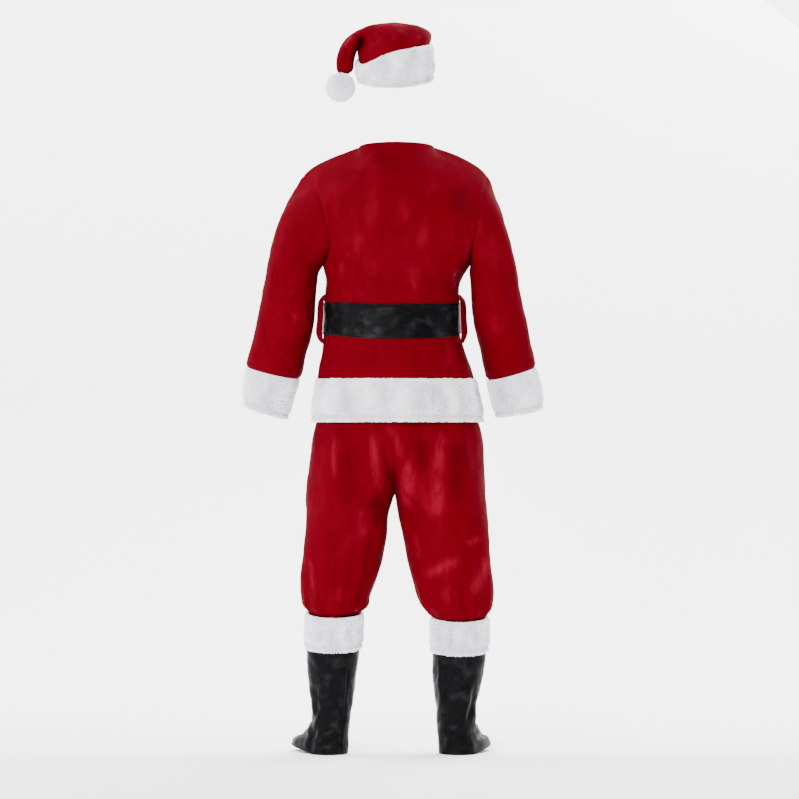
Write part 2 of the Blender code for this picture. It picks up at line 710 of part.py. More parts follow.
def build_boot_covers():
    """For each leg an outer side, an inner side, and a plush top laid over both."""
    half = BOOT_CELLS // 2
    sides = (
        ("left", BOOT_LEFT, BOOT_TURN_LEFT, ("outer", "inner")),
        ("right", BOOT_RIGHT, BOOT_TURN_RIGHT, ("inner", "outer")),
    )
    for side_name, rows, turn_out, names in sides:
        grid = np.array([boot_row(row, turn_out) for row in rows])
        normal = grid_normals(grid, wrap=True)
        closed = np.concatenate([grid, grid[:, :1]], axis=1)
        closed_normal = np.concatenate([normal, normal[:, :1]], axis=1)
        for part_name, columns in zip(names, (slice(0, half + 1), slice(half, None))):
            panel("boot_cover_" + part_name + "_" + side_name, closed[:, columns], closed_normal[:, columns],
                  "faux_leather", below=LEATHER_THICK, seams="LR")
        top = grid[:BOOT_PLUSH_ROWS]
        panel("boot_top_" + side_name, top, normal[:BOOT_PLUSH_ROWS], "plush",
              above=BOOT_PLUSH_ABOVE, below=-REST_GAP, wrap=True)


# Hat

def hat_ring(row):
    """One section of the hat, from its upper point over the back to its lower point and the front."""
    ring = limb_ring(row[:6], HAT_CELLS)
    ring[:, 2] += row[6] * (ring[:, 1] - row[4]) / row[5]
    return ring


def hat_seam(upper, lower):
    """The edge of the cone over the band, which sags most at the left of the back."""
    turn = np.linspace(0, 2 * math.pi, HAT_CELLS, endpoint=False)[:, None]
    fall = HAT_SAG + HAT_SAG_LEFT * np.exp(-((turn - HAT_SAG_TURN) / HAT_SAG_SPREAD) ** 2)
    return upper + unit(lower - upper) * fall


def build_hat():
    """Two gores of the cone, the plush band and the pompom."""
    cone = np.array([hat_ring(row) for row in HAT_CONE])
    band = np.array([hat_ring(row) for row in HAT_BAND])
    seam = hat_seam(band[0], band[1])
    cone[-1] = seam
    band[0] = seam
    whole = np.concatenate([cone, band[1:]])
    normal = grid_normals(whole, wrap=True)
    edge = len(cone) - 1
    closed = np.concatenate([whole, whole[:, :1]], axis=1)
    closed_normal = np.concatenate([normal, normal[:, :1]], axis=1)
    half = HAT_CELLS // 2
    for part_name, columns in (("back", slice(0, half + 1)), ("front", slice(half, None))):
        panel("hat_cone_" + part_name, closed[:edge + 1, columns], closed_normal[:edge + 1, columns],
              "velour", below=HAT_VELOUR_THICK, seams="LRB")
    panel("hat_band", whole[edge:], normal[edge:], "plush",
          above=HAT_PLUSH_ABOVE, below=PLUSH_BELOW, seams="T", wrap=True)
    build_pompom()


def build_pompom():
    """A ball of plush at the end of the hat's tail."""
    work = bmesh.new()
    bmesh.ops.create_icosphere(work, subdivisions=3, radius=POMPOM_RADIUS * MM)
    bmesh.ops.translate(work, verts=work.verts[:], vec=[value * MM for value in POMPOM_CENTRE])
    mesh = bpy.data.meshes.new("hat_pompom")
    work.to_mesh(mesh)
    work.free()
    finish("hat_pompom", mesh, "plush")


# Scene

def clear_scene():
    for thing in list(bpy.data.objects):
        bpy.data.objects.remove(thing, do_unlink=True)


def make_looks():
    for name, (colour, roughness, metallic) in LOOKS.items():
        material = bpy.data.materials.new(name)
        material.use_nodes = True
        shader = material.node_tree.nodes["Principled BSDF"]
        shader.inputs["Base Color"].default_value = colour
        shader.inputs["Roughness"].default_value = roughness
        shader.inputs["Metallic"].default_value = metallic


clear_scene()
make_looks()
build_jacket()
build_belt()
build_trousers()
build_boot_covers()
build_hat()
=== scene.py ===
"""Santa suit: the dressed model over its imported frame.

Shapes are worked out in millimetres, with +Z up, the front toward -Y and the garment's left toward +X.
A drop is measured down from the origin at shoulder height. Each piece of cloth is a grid of points on
its outer face. Creases and seam grooves move the points along their normals, and the same points moved
in close the wall. The tables of sections follow the solids of the frame, drawn closer to the cloth
where it shows.
"""

import math

import bpy
import numpy as np
from bpy.props import FloatProperty, FloatVectorProperty, PointerProperty
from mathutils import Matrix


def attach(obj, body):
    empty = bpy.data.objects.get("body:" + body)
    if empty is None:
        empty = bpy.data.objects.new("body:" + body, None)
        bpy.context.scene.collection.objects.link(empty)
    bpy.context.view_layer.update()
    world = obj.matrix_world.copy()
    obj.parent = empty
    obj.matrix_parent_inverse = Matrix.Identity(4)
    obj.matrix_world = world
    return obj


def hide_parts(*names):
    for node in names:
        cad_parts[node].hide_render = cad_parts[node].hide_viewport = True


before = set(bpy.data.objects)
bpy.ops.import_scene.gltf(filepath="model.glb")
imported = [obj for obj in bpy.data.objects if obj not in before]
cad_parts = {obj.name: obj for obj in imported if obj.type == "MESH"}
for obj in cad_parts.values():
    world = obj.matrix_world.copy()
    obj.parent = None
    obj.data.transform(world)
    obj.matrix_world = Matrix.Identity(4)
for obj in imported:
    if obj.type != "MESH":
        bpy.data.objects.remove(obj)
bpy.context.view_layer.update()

bl_info = {
    "name": "Santa Suit",
    "version": (1, 0, 0),
    "blender": (4, 5, 0),
    "location": "View3D > Sidebar > Santa Suit",
    "description": "Builds a worn santa suit with velour, plush, faux leather and a plain stage",
    "category": "Add Mesh",
}

MM = 0.001
BODY = "root"

# Power that squares a section, gap of a seam, gap under a piece that rests on another one,
# slant of a seam's gap, and angle above which an edge is sharp, in degrees
SECTION_POWER = 0.87
SEAM_GAP = 0.04
REST_GAP = 0.4
SEAM_SLANT = 0.4
SHARP_ANGLE = 60

# A flat piece fills at least this share of the rectangle round it
LEAST_FILL = 0.31

# Share of a trough that its soft shoulders take back, on cloth and on plush
CLOTH_SHOULDERS = 1.2
PLUSH_SHOULDERS = 0.6

# Counts of grid cells, along the rows and down the columns of each piece
DETAIL = 5
COAT_HALF_CELLS = 20 * DETAIL
SHOULDER_CELLS = 6 * DETAIL
YOKE_CELLS = 9 * DETAIL
SLEEVE_CELLS = 66
CUFF_CELLS = 18
COAT_LOWER_CELLS = 50
TRIM_CELLS = 18
LEG_CELLS = 144
SEAT_CELLS = 72
LEG_ROWS = 68
BOOT_CELLS = 96
BOOT_ROWS = 74
HAT_CELLS = 100
CONE_CELLS = 84
BAND_CELLS = 15
STRAP_CELLS = 34

# Jacket body: drop, centre x, half width, back depth, front depth, sag at the back and front
COAT_SECTIONS = (
    (285, -6, 180, 122, 132, 0),
    (318, 1, 166, 124, 134, 0),
    (345, 5, 163, 128, 136, 2),
    (374, 5, 166, 121, 128, 6),
    (416, 5, 166, 120, 127, 6),
    (458, 5, 168, 122, 129, 6),
    (490, 1, 174, 130, 134, 3),
    (525, -2, 183, 136, 139, 0),
    (560, -5, 190, 141, 143, 0),
    (612, -7, 200, 146, 148, 0),
    (664, -8, 207, 150, 151, 0),
)
UNDERARM_DROP = 285
BELT_TOP_DROP = 374
BELT_BOTTOM_DROP = 458
TRIM_TOP_DROP = 560
TRIM_BOTTOM_DROP = 664
SKIRT_FOLDS = 8
SKIRT_FOLD_HEIGHT = 4.0
SKIRT_FOLD_FADE = 120
UNDERARM_LEAN = 0.5

# Depth of the right front under the left one, above the belt and at the hem
TUCK_ABOVE = 3.4
TUCK_BELOW = 8.4

# Armhole, from underarm to shoulder: share of the way, x, y at the back, z
ARMHOLE_LEFT = (
    (0.00, 174, 0, -285),
    (0.25, 157, 72, -240),
    (0.45, 164, 86, -191),
    (0.62, 175, 77, -149),
    (0.80, 191, 50, -105),
    (1.00, 225, 0, -64),
)
ARMHOLE_RIGHT = (
    (0.00, -186, 0, -285),
    (0.25, -190, 72, -240),
    (0.45, -203, 86, -191),
    (0.62, -211, 77, -149),
    (0.80, -220, 50, -105),
    (1.00, -231, 0, -65),
)

# Shoulder seam, from the shoulder point to the neck: share of the way, left x, right x, z
SHOULDER = (
    (0.00, 225, -231, -64),
    (0.18, 203, -211, -44),
    (0.42, 169, -181, -25),
    (0.75, 120, -137, -5),
    (1.00, 85, -97, 8),
)

# Neck: centre, half width, and y and z of its middle at the back and the front
NECK_X = -6
NECK_HALF_WIDTH = 91
NECK_BACK = (58, 17)
NECK_FRONT = (-84, -42)

# Centre lines of the yoke, from underarm to neck: share of the way, y, z
BACK_LINE = (
    (0.00, 122, -285),
    (0.35, 127, -185),
    (0.70, 108, -78),
    (1.00, 58, 17),
)
FRONT_LINE = (
    (0.00, -132, -285),
    (0.40, -131, -185),
    (0.75, -110, -100),
    (1.00, -84, -42),
)

# Sleeves after the armhole: outer x, outer z, inner x, inner z, centre y, half depth
SLEEVE_LEFT = (
    (272, -147, 184, -301, 4, 76),
    (299, -223, 188, -327, 8, 66),
    (312, -292, 191, -370, 9, 63),
    (326, -365, 194, -414, 2, 62),
    (347, -461, 206, -472, -26, 62),
    (361, -530, 236, -559, -60, 60),
)
SLEEVE_RIGHT = (
    (-260, -142, -186, -307, 4, 76),
    (-284, -220, -187, -331, 8, 66),
    (-301, -299, -189, -370, 9, 63),
    (-313, -362, -191, -402, 2, 62),
    (-331, -440, -203, -460, -26, 62),
    (-346, -531, -233, -562, -60, 60),
)
CUFF_LEFT = (
    (361, -530, 236, -559, -60, 60),
    (368, -578, 251, -609, -73, 59),
    (369, -625, 266, -656, -86, 56),
)
CUFF_RIGHT = (
    (-346, -531, -233, -562, -60, 60),
    (-361, -582, -241, -607, -73, 59),
    (-365, -632, -254, -652, -86, 56),
)

# How much lower the back of a cuff hangs
CUFF_DIP = 6

# Trousers down to the crotch: drop, left x, right x, back depth, front depth,
# share closed toward the crotch
SEAT_SECTIONS = (
    (388, 166.6, -156.6, 114.8, 119.0, 0.00),
    (440, 166.6, -156.6, 114.8, 119.0, 0.00),
    (520, 168, -166, 121, 125, 0.00),
    (600, 179, -190, 131, 129, 0.05),
    (664, 190, -204, 134, 131, 0.14),
    (710, 201, -216, 134, 130, 0.28),
    (760, 207, -219, 130, 126, 0.50),
    (805, 212, -222, 123, 119, 0.76),
    (842, 216, -224, 118, 113, 1.00),
)
CROTCH_X = -2
CROTCH_DROP = 842

# Trouser legs below the crotch: drop, inner x, outer x, back depth, front depth,
# slope to the back, height of the gathers
LEG_LEFT = (
    (842, -2, 216, 118, 113, 0, 0),
    (888, 13, 216, 109, 105, 0, 0),
    (945, 19, 219, 101, 98, 0, 0),
    (1005, 32, 223, 94, 91, 0, 0),
    (1058, 47, 228, 88, 85, 3, 0.5),
    (1095, 60, 226, 82, 80, 7, 1.5),
    (1114, 64, 222, 79, 78, 10, 2.4),
    (1126, 76, 212, 69, 68, 10, 2.6),
    (1133, 92, 204, 56, 56, 10, 2.8),
    (1155, 93, 204, 55.5, 55.5, 10, 2.8),
    (1185, 94, 204, 55, 55, 10, 2.8),
)
LEG_RIGHT = (
    (842, -2, -224, 118, 113, 0, 0),
    (888, -10, -230, 109, 105, 0, 0),
    (945, -23, -234, 101, 98, 0, 0),
    (1005, -34, -238, 94, 91, 0, 0),
    (1058, -48, -243, 88, 85, 3, 0.5),
    (1100, -60, -242, 82, 80, 7, 1.5),
    (1123, -74, -237, 79, 78, 10, 2.4),
    (1136, -88, -228, 69, 68, 10, 2.6),
    (1143, -103.4, -214.6, 55.6, 55.6, 10, 2.8),
    (1165, -103.6, -214.4, 55.4, 55.4, 10, 2.8),
    (1195, -104, -214, 55, 55, 10, 2.8),
)

# Gathers round a leg, and its long folds: height, first and last drop, and length of their fade
LEG_GATHERS = 12
LEG_FOLD_HEIGHT = 3.2
LEG_FOLD_TOP = 842
LEG_FOLD_BOTTOM = 1118
LEG_FOLD_FADE = 110

# Drop under the jacket where the trousers' creases begin, and length of the end tucked into the boots
LEG_CREASES_START = 640
LEG_TUCKED_END = 46

# Boot covers: drop, centre x, half width across the foot, reach to the toe, reach to the heel,
# slope to the back, rise of the edge over the instep
BOOT_LEFT = (
    (1133, 146, 65.5, 65.5, 65.5, 10, 0),
    (1178, 147, 65.5, 65.5, 65.5, 10, 0),
    (1223, 149, 65.0, 65.0, 65.0, 10, 0),
    (1275, 151, 60.5, 60.5, 60.5, 6, 0),
    (1318, 151, 55.5, 55.5, 55.5, 3, 0),
    (1362, 152, 49.5, 50.0, 50.0, 0, 0),
    (1398, 154, 47.0, 54.0, 47.0, 0, 2),
    (1425, 156, 46.0, 74.0, 46.0, 0, 6),
    (1446, 158, 46.0, 108.0, 45.0, 0, 10),
    (1462, 159, 47.5, 133.0, 45.5, 0, 14),
    (1477, 160, 48.0, 140.0, 46.0, 0, 16),
)
BOOT_RIGHT = (
    (1143, -161, 65.5, 65.5, 65.5, 10, 0),
    (1188, -161, 65.8, 65.8, 65.8, 10, 0),
    (1232, -160, 66.0, 66.0, 66.0, 10, 0),
    (1278, -157, 62.5, 62.5, 62.5, 6, 0),
    (1318, -154, 57.5, 57.5, 57.5, 3, 0),
    (1362, -152, 49.5, 50.0, 50.0, 0, 0),
    (1398, -152, 48.0, 56.0, 48.0, 0, 2),
    (1425, -153, 47.0, 78.0, 47.0, 0, 6),
    (1446, -155, 46.0, 112.0, 45.0, 0, 10),
    (1462, -156, 47.5, 137.0, 45.5, 0, 14),
    (1477, -157, 48.0, 144.0, 46.0, 0, 16),
)

# Turn of the toes outward in degrees, and depth of the plush top
BOOT_TURN_LEFT = 38
BOOT_TURN_RIGHT = -30
BOOT_PLUSH_DEPTH = 83

# Hat: right or upper x, its z, left or lower x, its z, centre y, half depth, slope to the back
HAT_BAND = (
    (-89, 264, 88, 233, 0, 98, -10),
    (-93, 221, 88, 203, 0, 101, -18),
    (-94, 177, 86, 172, 0, 104, -30),
)
HAT_CONE = (
    (137, 187, 112, 184, 20, 8, 0),
    (141, 200, 99, 195, 20, 18, 0),
    (140, 226, 96, 217, 19, 23, 0),
    (132, 252, 92, 235, 17, 28, 0),
    (114, 275, 88, 249, 14, 33, 0),
    (91, 291, 82, 261, 10, 38, 0),
    (62, 304, 81, 268, 6, 45, 0),
    (25, 311, 82, 263, 3, 54, -2),
    (-18, 311, 83, 257, 1, 65, -4),
    (-60, 305, 86, 250, 0, 78, -6),
    (-90, 287, 89, 243, 0, 90, -8),
    (-89, 264, 88, 233, 0, 98, -10),
)

# Fall of the cone's edge over the band: everywhere, and more round a turn, as a bell of that spread
HAT_SAG = 5
HAT_SAG_LEFT = 20
HAT_SAG_TURN = 2.55
HAT_SAG_SPREAD = 0.62
POMPOM_CENTRE = (131, 20, 152.4)
POMPOM_RADIUS = 37.0
POMPOM_PILE = 6.5
POMPOM_TUFTS = 1900
POMPOM_TUFT_LENGTH = 9.0
POMPOM_TUFT_RADIUS = 2.3
HAT_CLOTH_THICK = 1.4

# Belt, buckle, prong and loops: drops, and angles round the jacket in degrees, with the front at 270.
# A loop's path has the share of the way, the drop and the distance out from the jacket.
FRONT_ANGLE = 270
CELL_ANGLE = 9
STRAP_START = 279
STRAP_LAP = 36
LOOP_ANGLE_BACK = 10
LOOP_HALF_ANGLE = 6.4
LOOP_PATH = (
    (0.0, 355, 0.4),
    (0.13, 362, 5.5),
    (0.27, 372, 10.5),
    (0.55, 418, 14.0),
    (0.8, 452, 14.5),
    (0.92, 465, 8.5),
    (1.0, 474, 0.4),
)
LOOP_LEAN = 0.45
LOOP_THICK = 4.0
BELT_THICK = 2.6
BELT_SIDE_RISE = 8
BUCKLE_REACH = 48.5
BUCKLE_RADIUS = 162
BUCKLE_TOP_DROP = 367
BUCKLE_BOTTOM_DROP = 465
BUCKLE_BAR = 11
BUCKLE_THICK = 4.0
PRONG_HALF_HEIGHT = 3.5
PRONG_THICK = 3.0

# Creases: x and z of both ends, bend of the line, half width, depth. A depth below 0 is a ridge.
COAT_CREASES_BACK = (
    (160, -250, 118, -330, 8, 13, 4.0),
    (166, -262, 60, -300, -10, 16, 3.0),
    (150, -300, 128, -352, 4, 9, 3.0),
    (-186, -258, -128, -336, -8, 14, 4.0),
    (-190, -250, -84, -292, 12, 17, 3.2),
    (-164, -300, -136, -352, -6, 9, 3.2),
    (72, -318, 58, -362, 3, 10, 2.4),
    (18, -300, 30, -360, 4, 12, 2.2),
    (-44, -322, -52, -364, 2, 8, 2.0),
    (-96, -310, -84, -362, -4, 10, 2.4),
    (150, -120, 138, -230, 8, 20, 3.0),
    (-188, -110, -176, -225, -8, 22, 3.0),
    (60, -40, 40, -230, 14, 34, 2.4),
    (-70, -50, -92, -270, -16, 38, 2.6),
    (0, -130, 8, -290, 10, 30, 2.0),
    (118, -468, 130, -550, 3, 12, 2.6),
    (46, -466, 40, -520, -3, 11, 2.4),
    (-22, -466, -34, -500, 3, 8, 2.6),
    (-52, -468, -58, -548, -4, 13, 2.6),
    (-118, -470, -140, -556, -6, 11, 3.4),
    (-152, -474, -168, -540, -3, 10, 2.4),
)
COAT_CREASES_FRONT = (
    (164, -252, 112, -326, 8, 14, 4.0),
    (168, -240, 66, -286, -12, 18, 3.2),
    (140, -300, 118, -354, 5, 9, 3.0),
    (-190, -256, -118, -322, -10, 15, 4.0),
    (-188, -232, -70, -276, 12, 19, 3.0),
    (-158, -302, -138, -352, -5, 9, 2.8),
    (84, -312, 70, -362, 4, 11, 2.4),
    (-76, -306, -64, -360, -4, 11, 2.6),
    (34, -326, 28, -364, -2, 8, 2.0),
    (120, -100, 96, -220, 12, 28, 2.6),
    (-128, -92, -108, -214, -12, 30, 2.6),
    (126, -470, 140, -552, 4, 12, 3.0),
    (74, -468, 82, -520, 3, 10, 2.2),
    (-66, -468, -58, -546, -4, 13, 2.6),
    (-124, -470, -142, -550, -5, 11, 3.0),
)
SLEEVE_CREASES_BACK = (
    (196, -262, 262, -300, 8, 13, 4.0),
    (188, -318, 270, -336, -8, 12, 3.6),
    (196, -352, 258, -380, 7, 12, 4.2),
    (204, -398, 276, -392, -10, 13, 4.6),
    (208, -440, 262, -414, 6, 11, 4.0),
    (262, -442, 330, -430, -8, 13, 2.6),
    (226, -486, 300, -500, 8, 12, 2.6),
    (250, -512, 306, -486, -6, 10, 2.2),
    (262, -150, 300, -300, 12, 26, 2.6),
    (318, -470, 340, -522, 4, 12, 1.8),
    (-196, -268, -258, -318, -8, 14, 4.0),
    (-206, -330, -232, -420, -8, 13, 3.4),
    (-196, -372, -250, -404, 6, 11, 3.6),
    (-214, -430, -272, -408, -8, 12, 3.6),
    (-234, -168, -262, -330, -12, 20, 3.4),
    (-278, -236, -290, -384, 8, 22, 2.4),
    (-232, -470, -300, -452, 8, 13, 2.6),
    (-248, -516, -316, -500, -6, 11, 2.2),
    (-300, -420, -322, -500, -6, 14, 2.0),
)
SLEEVE_CREASES_FRONT = (
    (198, -270, 276, -322, -9, 14, 4.0),
    (196, -340, 286, -352, 8, 13, 3.8),
    (200, -384, 290, -376, -9, 13, 4.4),
    (206, -428, 300, -420, 9, 14, 3.8),
    (232, -478, 316, -470, -7, 13, 2.6),
    (252, -520, 320, -508, 6, 11, 2.2),
    (250, -140, 292, -290, -10, 24, 2.6),
    (-198, -272, -272, -318, 9, 14, 4.0),
    (-196, -346, -276, -352, -8, 13, 3.8),
    (-202, -392, -282, -380, 8, 12, 4.2),
    (-212, -436, -292, -426, -8, 14, 3.6),
    (-236, -486, -306, -474, 7, 12, 2.6),
    (-250, -140, -276, -280, 10, 24, 2.6),
)
LEG_CREASES_BACK = (
    (30, -650, 24, -770, 5, 15, 4.0),
    (34, -700, 8, -806, -8, 12, 4.6),
    (-30, -690, -12, -800, 8, 13, 4.2),
    (-62, -662, -68, -800, -6, 17, 3.2),
    (96, -668, 108, -820, 8, 24, 2.6),
    (152, -664, 172, -780, 6, 20, 2.4),
    (-126, -660, -142, -776, -8, 20, 3.0),
    (-176, -664, -196, -800, -6, 18, 2.4),
    (26, -846, 70, -930, 10, 14, 3.6),
    (40, -930, 62, -1040, 6, 13, 2.8),
    (-20, -850, -70, -912, -10, 15, 3.4),
    (-46, -882, -108, -946, -8, 13, 3.0),
    (-196, -906, -116, -986, 12, 16, 3.4),
    (-214, -968, -96, -1030, -12, 15, 3.2),
    (110, -1080, 96, -980, 5, 14, 2.4),
    (150, -1110, 160, -1010, -6, 12, 3.0),
    (196, -1100, 206, -990, -5, 13, 2.8),
    (126, -1122, 118, -1070, 3, 7, 3.4),
    (172, -1124, 178, -1064, -3, 7, 3.6),
    (92, -1106, 76, -1068, 2, 8, 3.2),
    (206, -1112, 214, -1064, -3, 8, 2.8),
    (-118, -1120, -96, -1060, 4, 9, 3.4),
    (-146, -1130, -140, -1066, 2, 7, 3.0),
    (-170, -1132, -176, -1056, -3, 8, 3.6),
    (-204, -1126, -214, -1040, -4, 9, 3.4),
    (-222, -1110, -232, -1000, -4, 12, 2.6),
)
LEG_CREASES_FRONT = (
    (26, -680, 14, -800, 6, 14, 3.8),
    (-28, -680, -16, -800, -6, 14, 3.8),
    (70, -690, 92, -820, -8, 20, 3.0),
    (-76, -690, -98, -826, 8, 20, 3.0),
    (146, -700, 162, -830, 6, 18, 2.4),
    (-150, -700, -170, -820, -6, 18, 2.4),
    (60, -900, 160, -930, -12, 16, 3.0),
    (70, -1000, 190, -968, 12, 16, 3.4),
    (-50, -912, -160, -936, 10, 16, 3.0),
    (-76, -1004, -206, -978, -12, 16, 3.4),
    (100, -1120, 88, -1060, 3, 8, 3.4),
    (132, -1126, 136, -1056, -3, 8, 3.4),
    (164, -1126, 172, -1064, -3, 7, 3.2),
    (196, -1116, 208, -1060, -3, 9, 3.0),
    (-112, -1126, -98, -1064, 3, 8, 3.4),
    (-142, -1134, -146, -1060, 3, 8, 3.4),
    (-176, -1134, -184, -1070, -2, 7, 3.2),
    (-206, -1122, -220, -1062, -3, 9, 3.0),
)
BELT_CREASES = (
    (40, -394, -30, -388, 4, 5, 1.8),
    (88, -408, 104, -444, -4, 6, 2.0),
    (66, -396, 88, -430, 5, 6, 1.6),
    (112, -388, 124, -436, 4, 6, 1.2),
    (10, -440, 60, -446, -3, 6, 1.2),
    (-46, -432, -104, -440, 4, 6, 1.4),
    (-84, -392, -136, -400, -3, 6, 1.2),
    (26, -404, 20, -436, 3, 6, 0.9),
)
BOOT_CREASES_BACK = (
    (186, -1308, 148, -1322, -6, 10, -2.6),
    (190, -1336, 150, -1342, 5, 8, 2.2),
    (184, -1368, 146, -1352, -5, 9, -2.0),
    (196, -1440, 232, -1478, 4, 9, -2.6),
    (188, -1404, 212, -1450, -4, 9, 2.8),
    (178, -1376, 196, -1424, 3, 8, -2.2),
    (196, -1296, 190, -1392, -4, 9, 1.8),
    (120, -1240, 124, -1400, 3, 9, -1.4),
    (130, -1410, 176, -1432, 5, 8, 2.0),
    (122, -1444, 190, -1452, -5, 7, 1.6),
    (-112, -1232, -118, -1362, 3, 8, -1.8),
    (-184, -1300, -164, -1396, -6, 9, -3.0),
    (-196, -1320, -176, -1404, -5, 9, 2.6),
    (-176, -1284, -146, -1318, 5, 9, -2.2),
    (-152, -1330, -188, -1300, -4, 8, 1.8),
    (-206, -1428, -238, -1466, 4, 9, -2.8),
    (-196, -1412, -222, -1462, -4, 9, 2.6),
    (-116, -1392, -160, -1404, 5, 8, 2.0),
    (-118, -1430, -186, -1442, -5, 7, 1.8),
    (-132, -1420, -136, -1470, 2, 8, -1.6),
)
BOOT_CREASES_FRONT = (
    (112, -1270, 190, -1284, -6, 10, 2.2),
    (108, -1330, 186, -1318, 5, 9, 2.4),
    (120, -1386, 206, -1372, -6, 9, 3.0),
    (128, -1412, 226, -1398, 6, 8, 3.0),
    (150, -1440, 250, -1424, -6, 9, 2.6),
    (-112, -1278, -190, -1266, 6, 10, 2.2),
    (-110, -1334, -188, -1322, -5, 9, 2.4),
    (-122, -1390, -206, -1376, 6, 9, 3.0),
    (-130, -1416, -224, -1402, -6, 8, 3.0),
    (-150, -1444, -244, -1428, 6, 9, 2.6),
)
HAT_CREASES_BACK = (
    (78, 282, 88, 240, -8, 9, 1.2),
    (60, 288, 44, 250, -6, 11, 2.6),
    (34, 296, 6, 258, -8, 13, 2.8),
    (-10, 296, -40, 262, -8, 14, 2.4),
    (96, 262, 118, 226, 6, 9, 3.0),
    (104, 236, 122, 206, 4, 7, 2.8),
)
HAT_CREASES_FRONT = (
    (76, 282, 84, 244, 7, 10, 1.2),
    (48, 288, 26, 254, 6, 12, 3.2),
    (4, 294, -22, 262, 8, 14, 2.6),
    (100, 258, 120, 222, -6, 9, 2.8),
)

# Creases of the plush: hem, cuffs, band and boot tops
PLUSH_CREASES_BACK = (
    (116, -566, 112, -652, 3, 14, 1.8),
    (64, -574, 70, -640, -3, 12, -1.4),
    (24, -564, 20, -656, 2, 12, 1.8),
    (-24, -572, -30, -650, -3, 16, -1.4),
    (-76, -566, -70, -648, 3, 12, 1.6),
    (-94, -562, -90, -656, -2, 5, 2.2),
    (-140, -570, -146, -640, 3, 14, -1.4),
    (158, -570, 164, -646, 3, 12, -1.2),
    (290, -560, 284, -640, 4, 12, 1.8),
    (330, -566, 336, -626, -3, 12, -1.4),
    (262, -576, 268, -650, -3, 9, 1.4),
    (-262, -566, -274, -640, 4, 12, 1.8),
    (-300, -560, -306, -634, -3, 13, -1.4),
    (-330, -556, -340, -622, 4, 10, 1.6),
    (40, 224, 44, 176, 2, 12, 1.6),
    (-6, 232, -10, 178, -2, 14, -1.4),
    (-50, 244, -56, 180, 2, 13, 1.6),
    (110, -1140, 108, -1218, 3, 10, 1.8),
    (128, -1146, 132, -1206, -3, 10, -1.6),
    (152, -1150, 150, -1222, 2, 4, 2.4),
    (176, -1140, 182, -1212, 3, 11, 1.6),
    (-118, -1150, -114, -1226, 3, 10, 1.6),
    (-140, -1154, -138, -1230, -2, 4, 2.4),
    (-164, -1156, -160, -1216, 3, 12, -1.6),
    (-190, -1150, -196, -1222, -3, 11, 1.8),
)
PLUSH_CREASES_FRONT = (
    (128, -566, 124, -650, 3, 14, 1.8),
    (76, -572, 82, -644, -3, 13, -1.4),
    (34, -566, 30, -652, 2, 12, 1.6),
    (-58, -566, -64, -650, 3, 13, 1.8),
    (-112, -572, -106, -642, -3, 14, -1.4),
    (-156, -568, -160, -650, 2, 12, 1.6),
    (296, -562, 300, -640, 4, 12, 1.6),
    (336, -560, 340, -628, -3, 12, -1.4),
    (-270, -566, -276, -640, 4, 12, 1.6),
    (-316, -560, -322, -632, -3, 13, -1.4),
    (30, 226, 34, 180, 2, 12, 1.6),
    (-40, 238, -44, 182, -2, 14, -1.4),
    (132, -1146, 136, -1214, 3, 11, 1.6),
    (168, -1140, 164, -1210, -3, 10, -1.6),
    (-146, -1152, -142, -1222, 3, 11, 1.6),
    (-182, -1150, -186, -1218, -3, 10, -1.6),
)

# Painted highlight streaks on the nap: x and z of both ends, bend, half width, strength. Below 0 is painted
# shade.
COAT_PAINTED_LIGHT_BACK = (
    (150, -70, 138, -180, 8, 16, 0.4),
    (176, -161, 159, -216, -3, 5, 0.7),
    (127, -270, 125, -332, 2, 8, 0.8),
    (48, -130, 66, -200, 6, 14, 0.3),
    (79, -200, 88, -270, 4, 10, 0.42),
    (-84, -156, -54, -250, -5, 16, 0.62),
    (-34, -104, -31, -184, 4, 15, 0.25),
    (-86, -70, -78, -150, -4, 12, 0.3),
    (58, -268, 46, -320, -4, 12, 0.5),
    (-147, -290, -140, -350, -3, 9, 1.0),
    (-181, -210, -174, -284, -3, 9, 0.6),
    (-54, -276, -51, -360, -4, 15, 0.45),
    (-100, -250, -94, -320, -4, 9, 0.4),
    (34, -150, -27, -226, 6, 20, -0.4),
    (-30, -20, 40, -60, 10, 30, -0.4),
    (100, -30, 60, -110, 8, 26, -0.3),
    (-156, -70, -174, -190, 6, 28, -0.5),
    (-120, -480, -132, -540, -4, 8, 0.8),
    (40, -470, 60, -540, 4, 24, -0.3),
)
SLEEVE_PAINTED_LIGHT_BACK = (
    (196, -282, 236, -380, 10, 16, 0.6),
    (250, -200, 282, -330, 8, 18, 0.4),
    (240, -390, 216, -460, 6, 14, 0.8),
    (212, -370, 200, -452, 0, 14, -0.6),
    (330, -420, 346, -510, 4, 12, 0.4),
    (230, -500, 250, -540, 4, 14, 0.5),
    (-232, -180, -254, -360, -8, 12, 0.9),
    (-212, -130, -196, -230, -8, 12, 0.6),
    (-286, -250, -300, -400, -6, 16, 0.3),
    (-262, -360, -300, -390, 6, 16, -0.4),
    (-226, -330, -240, -470, -6, 14, 0.4),
)
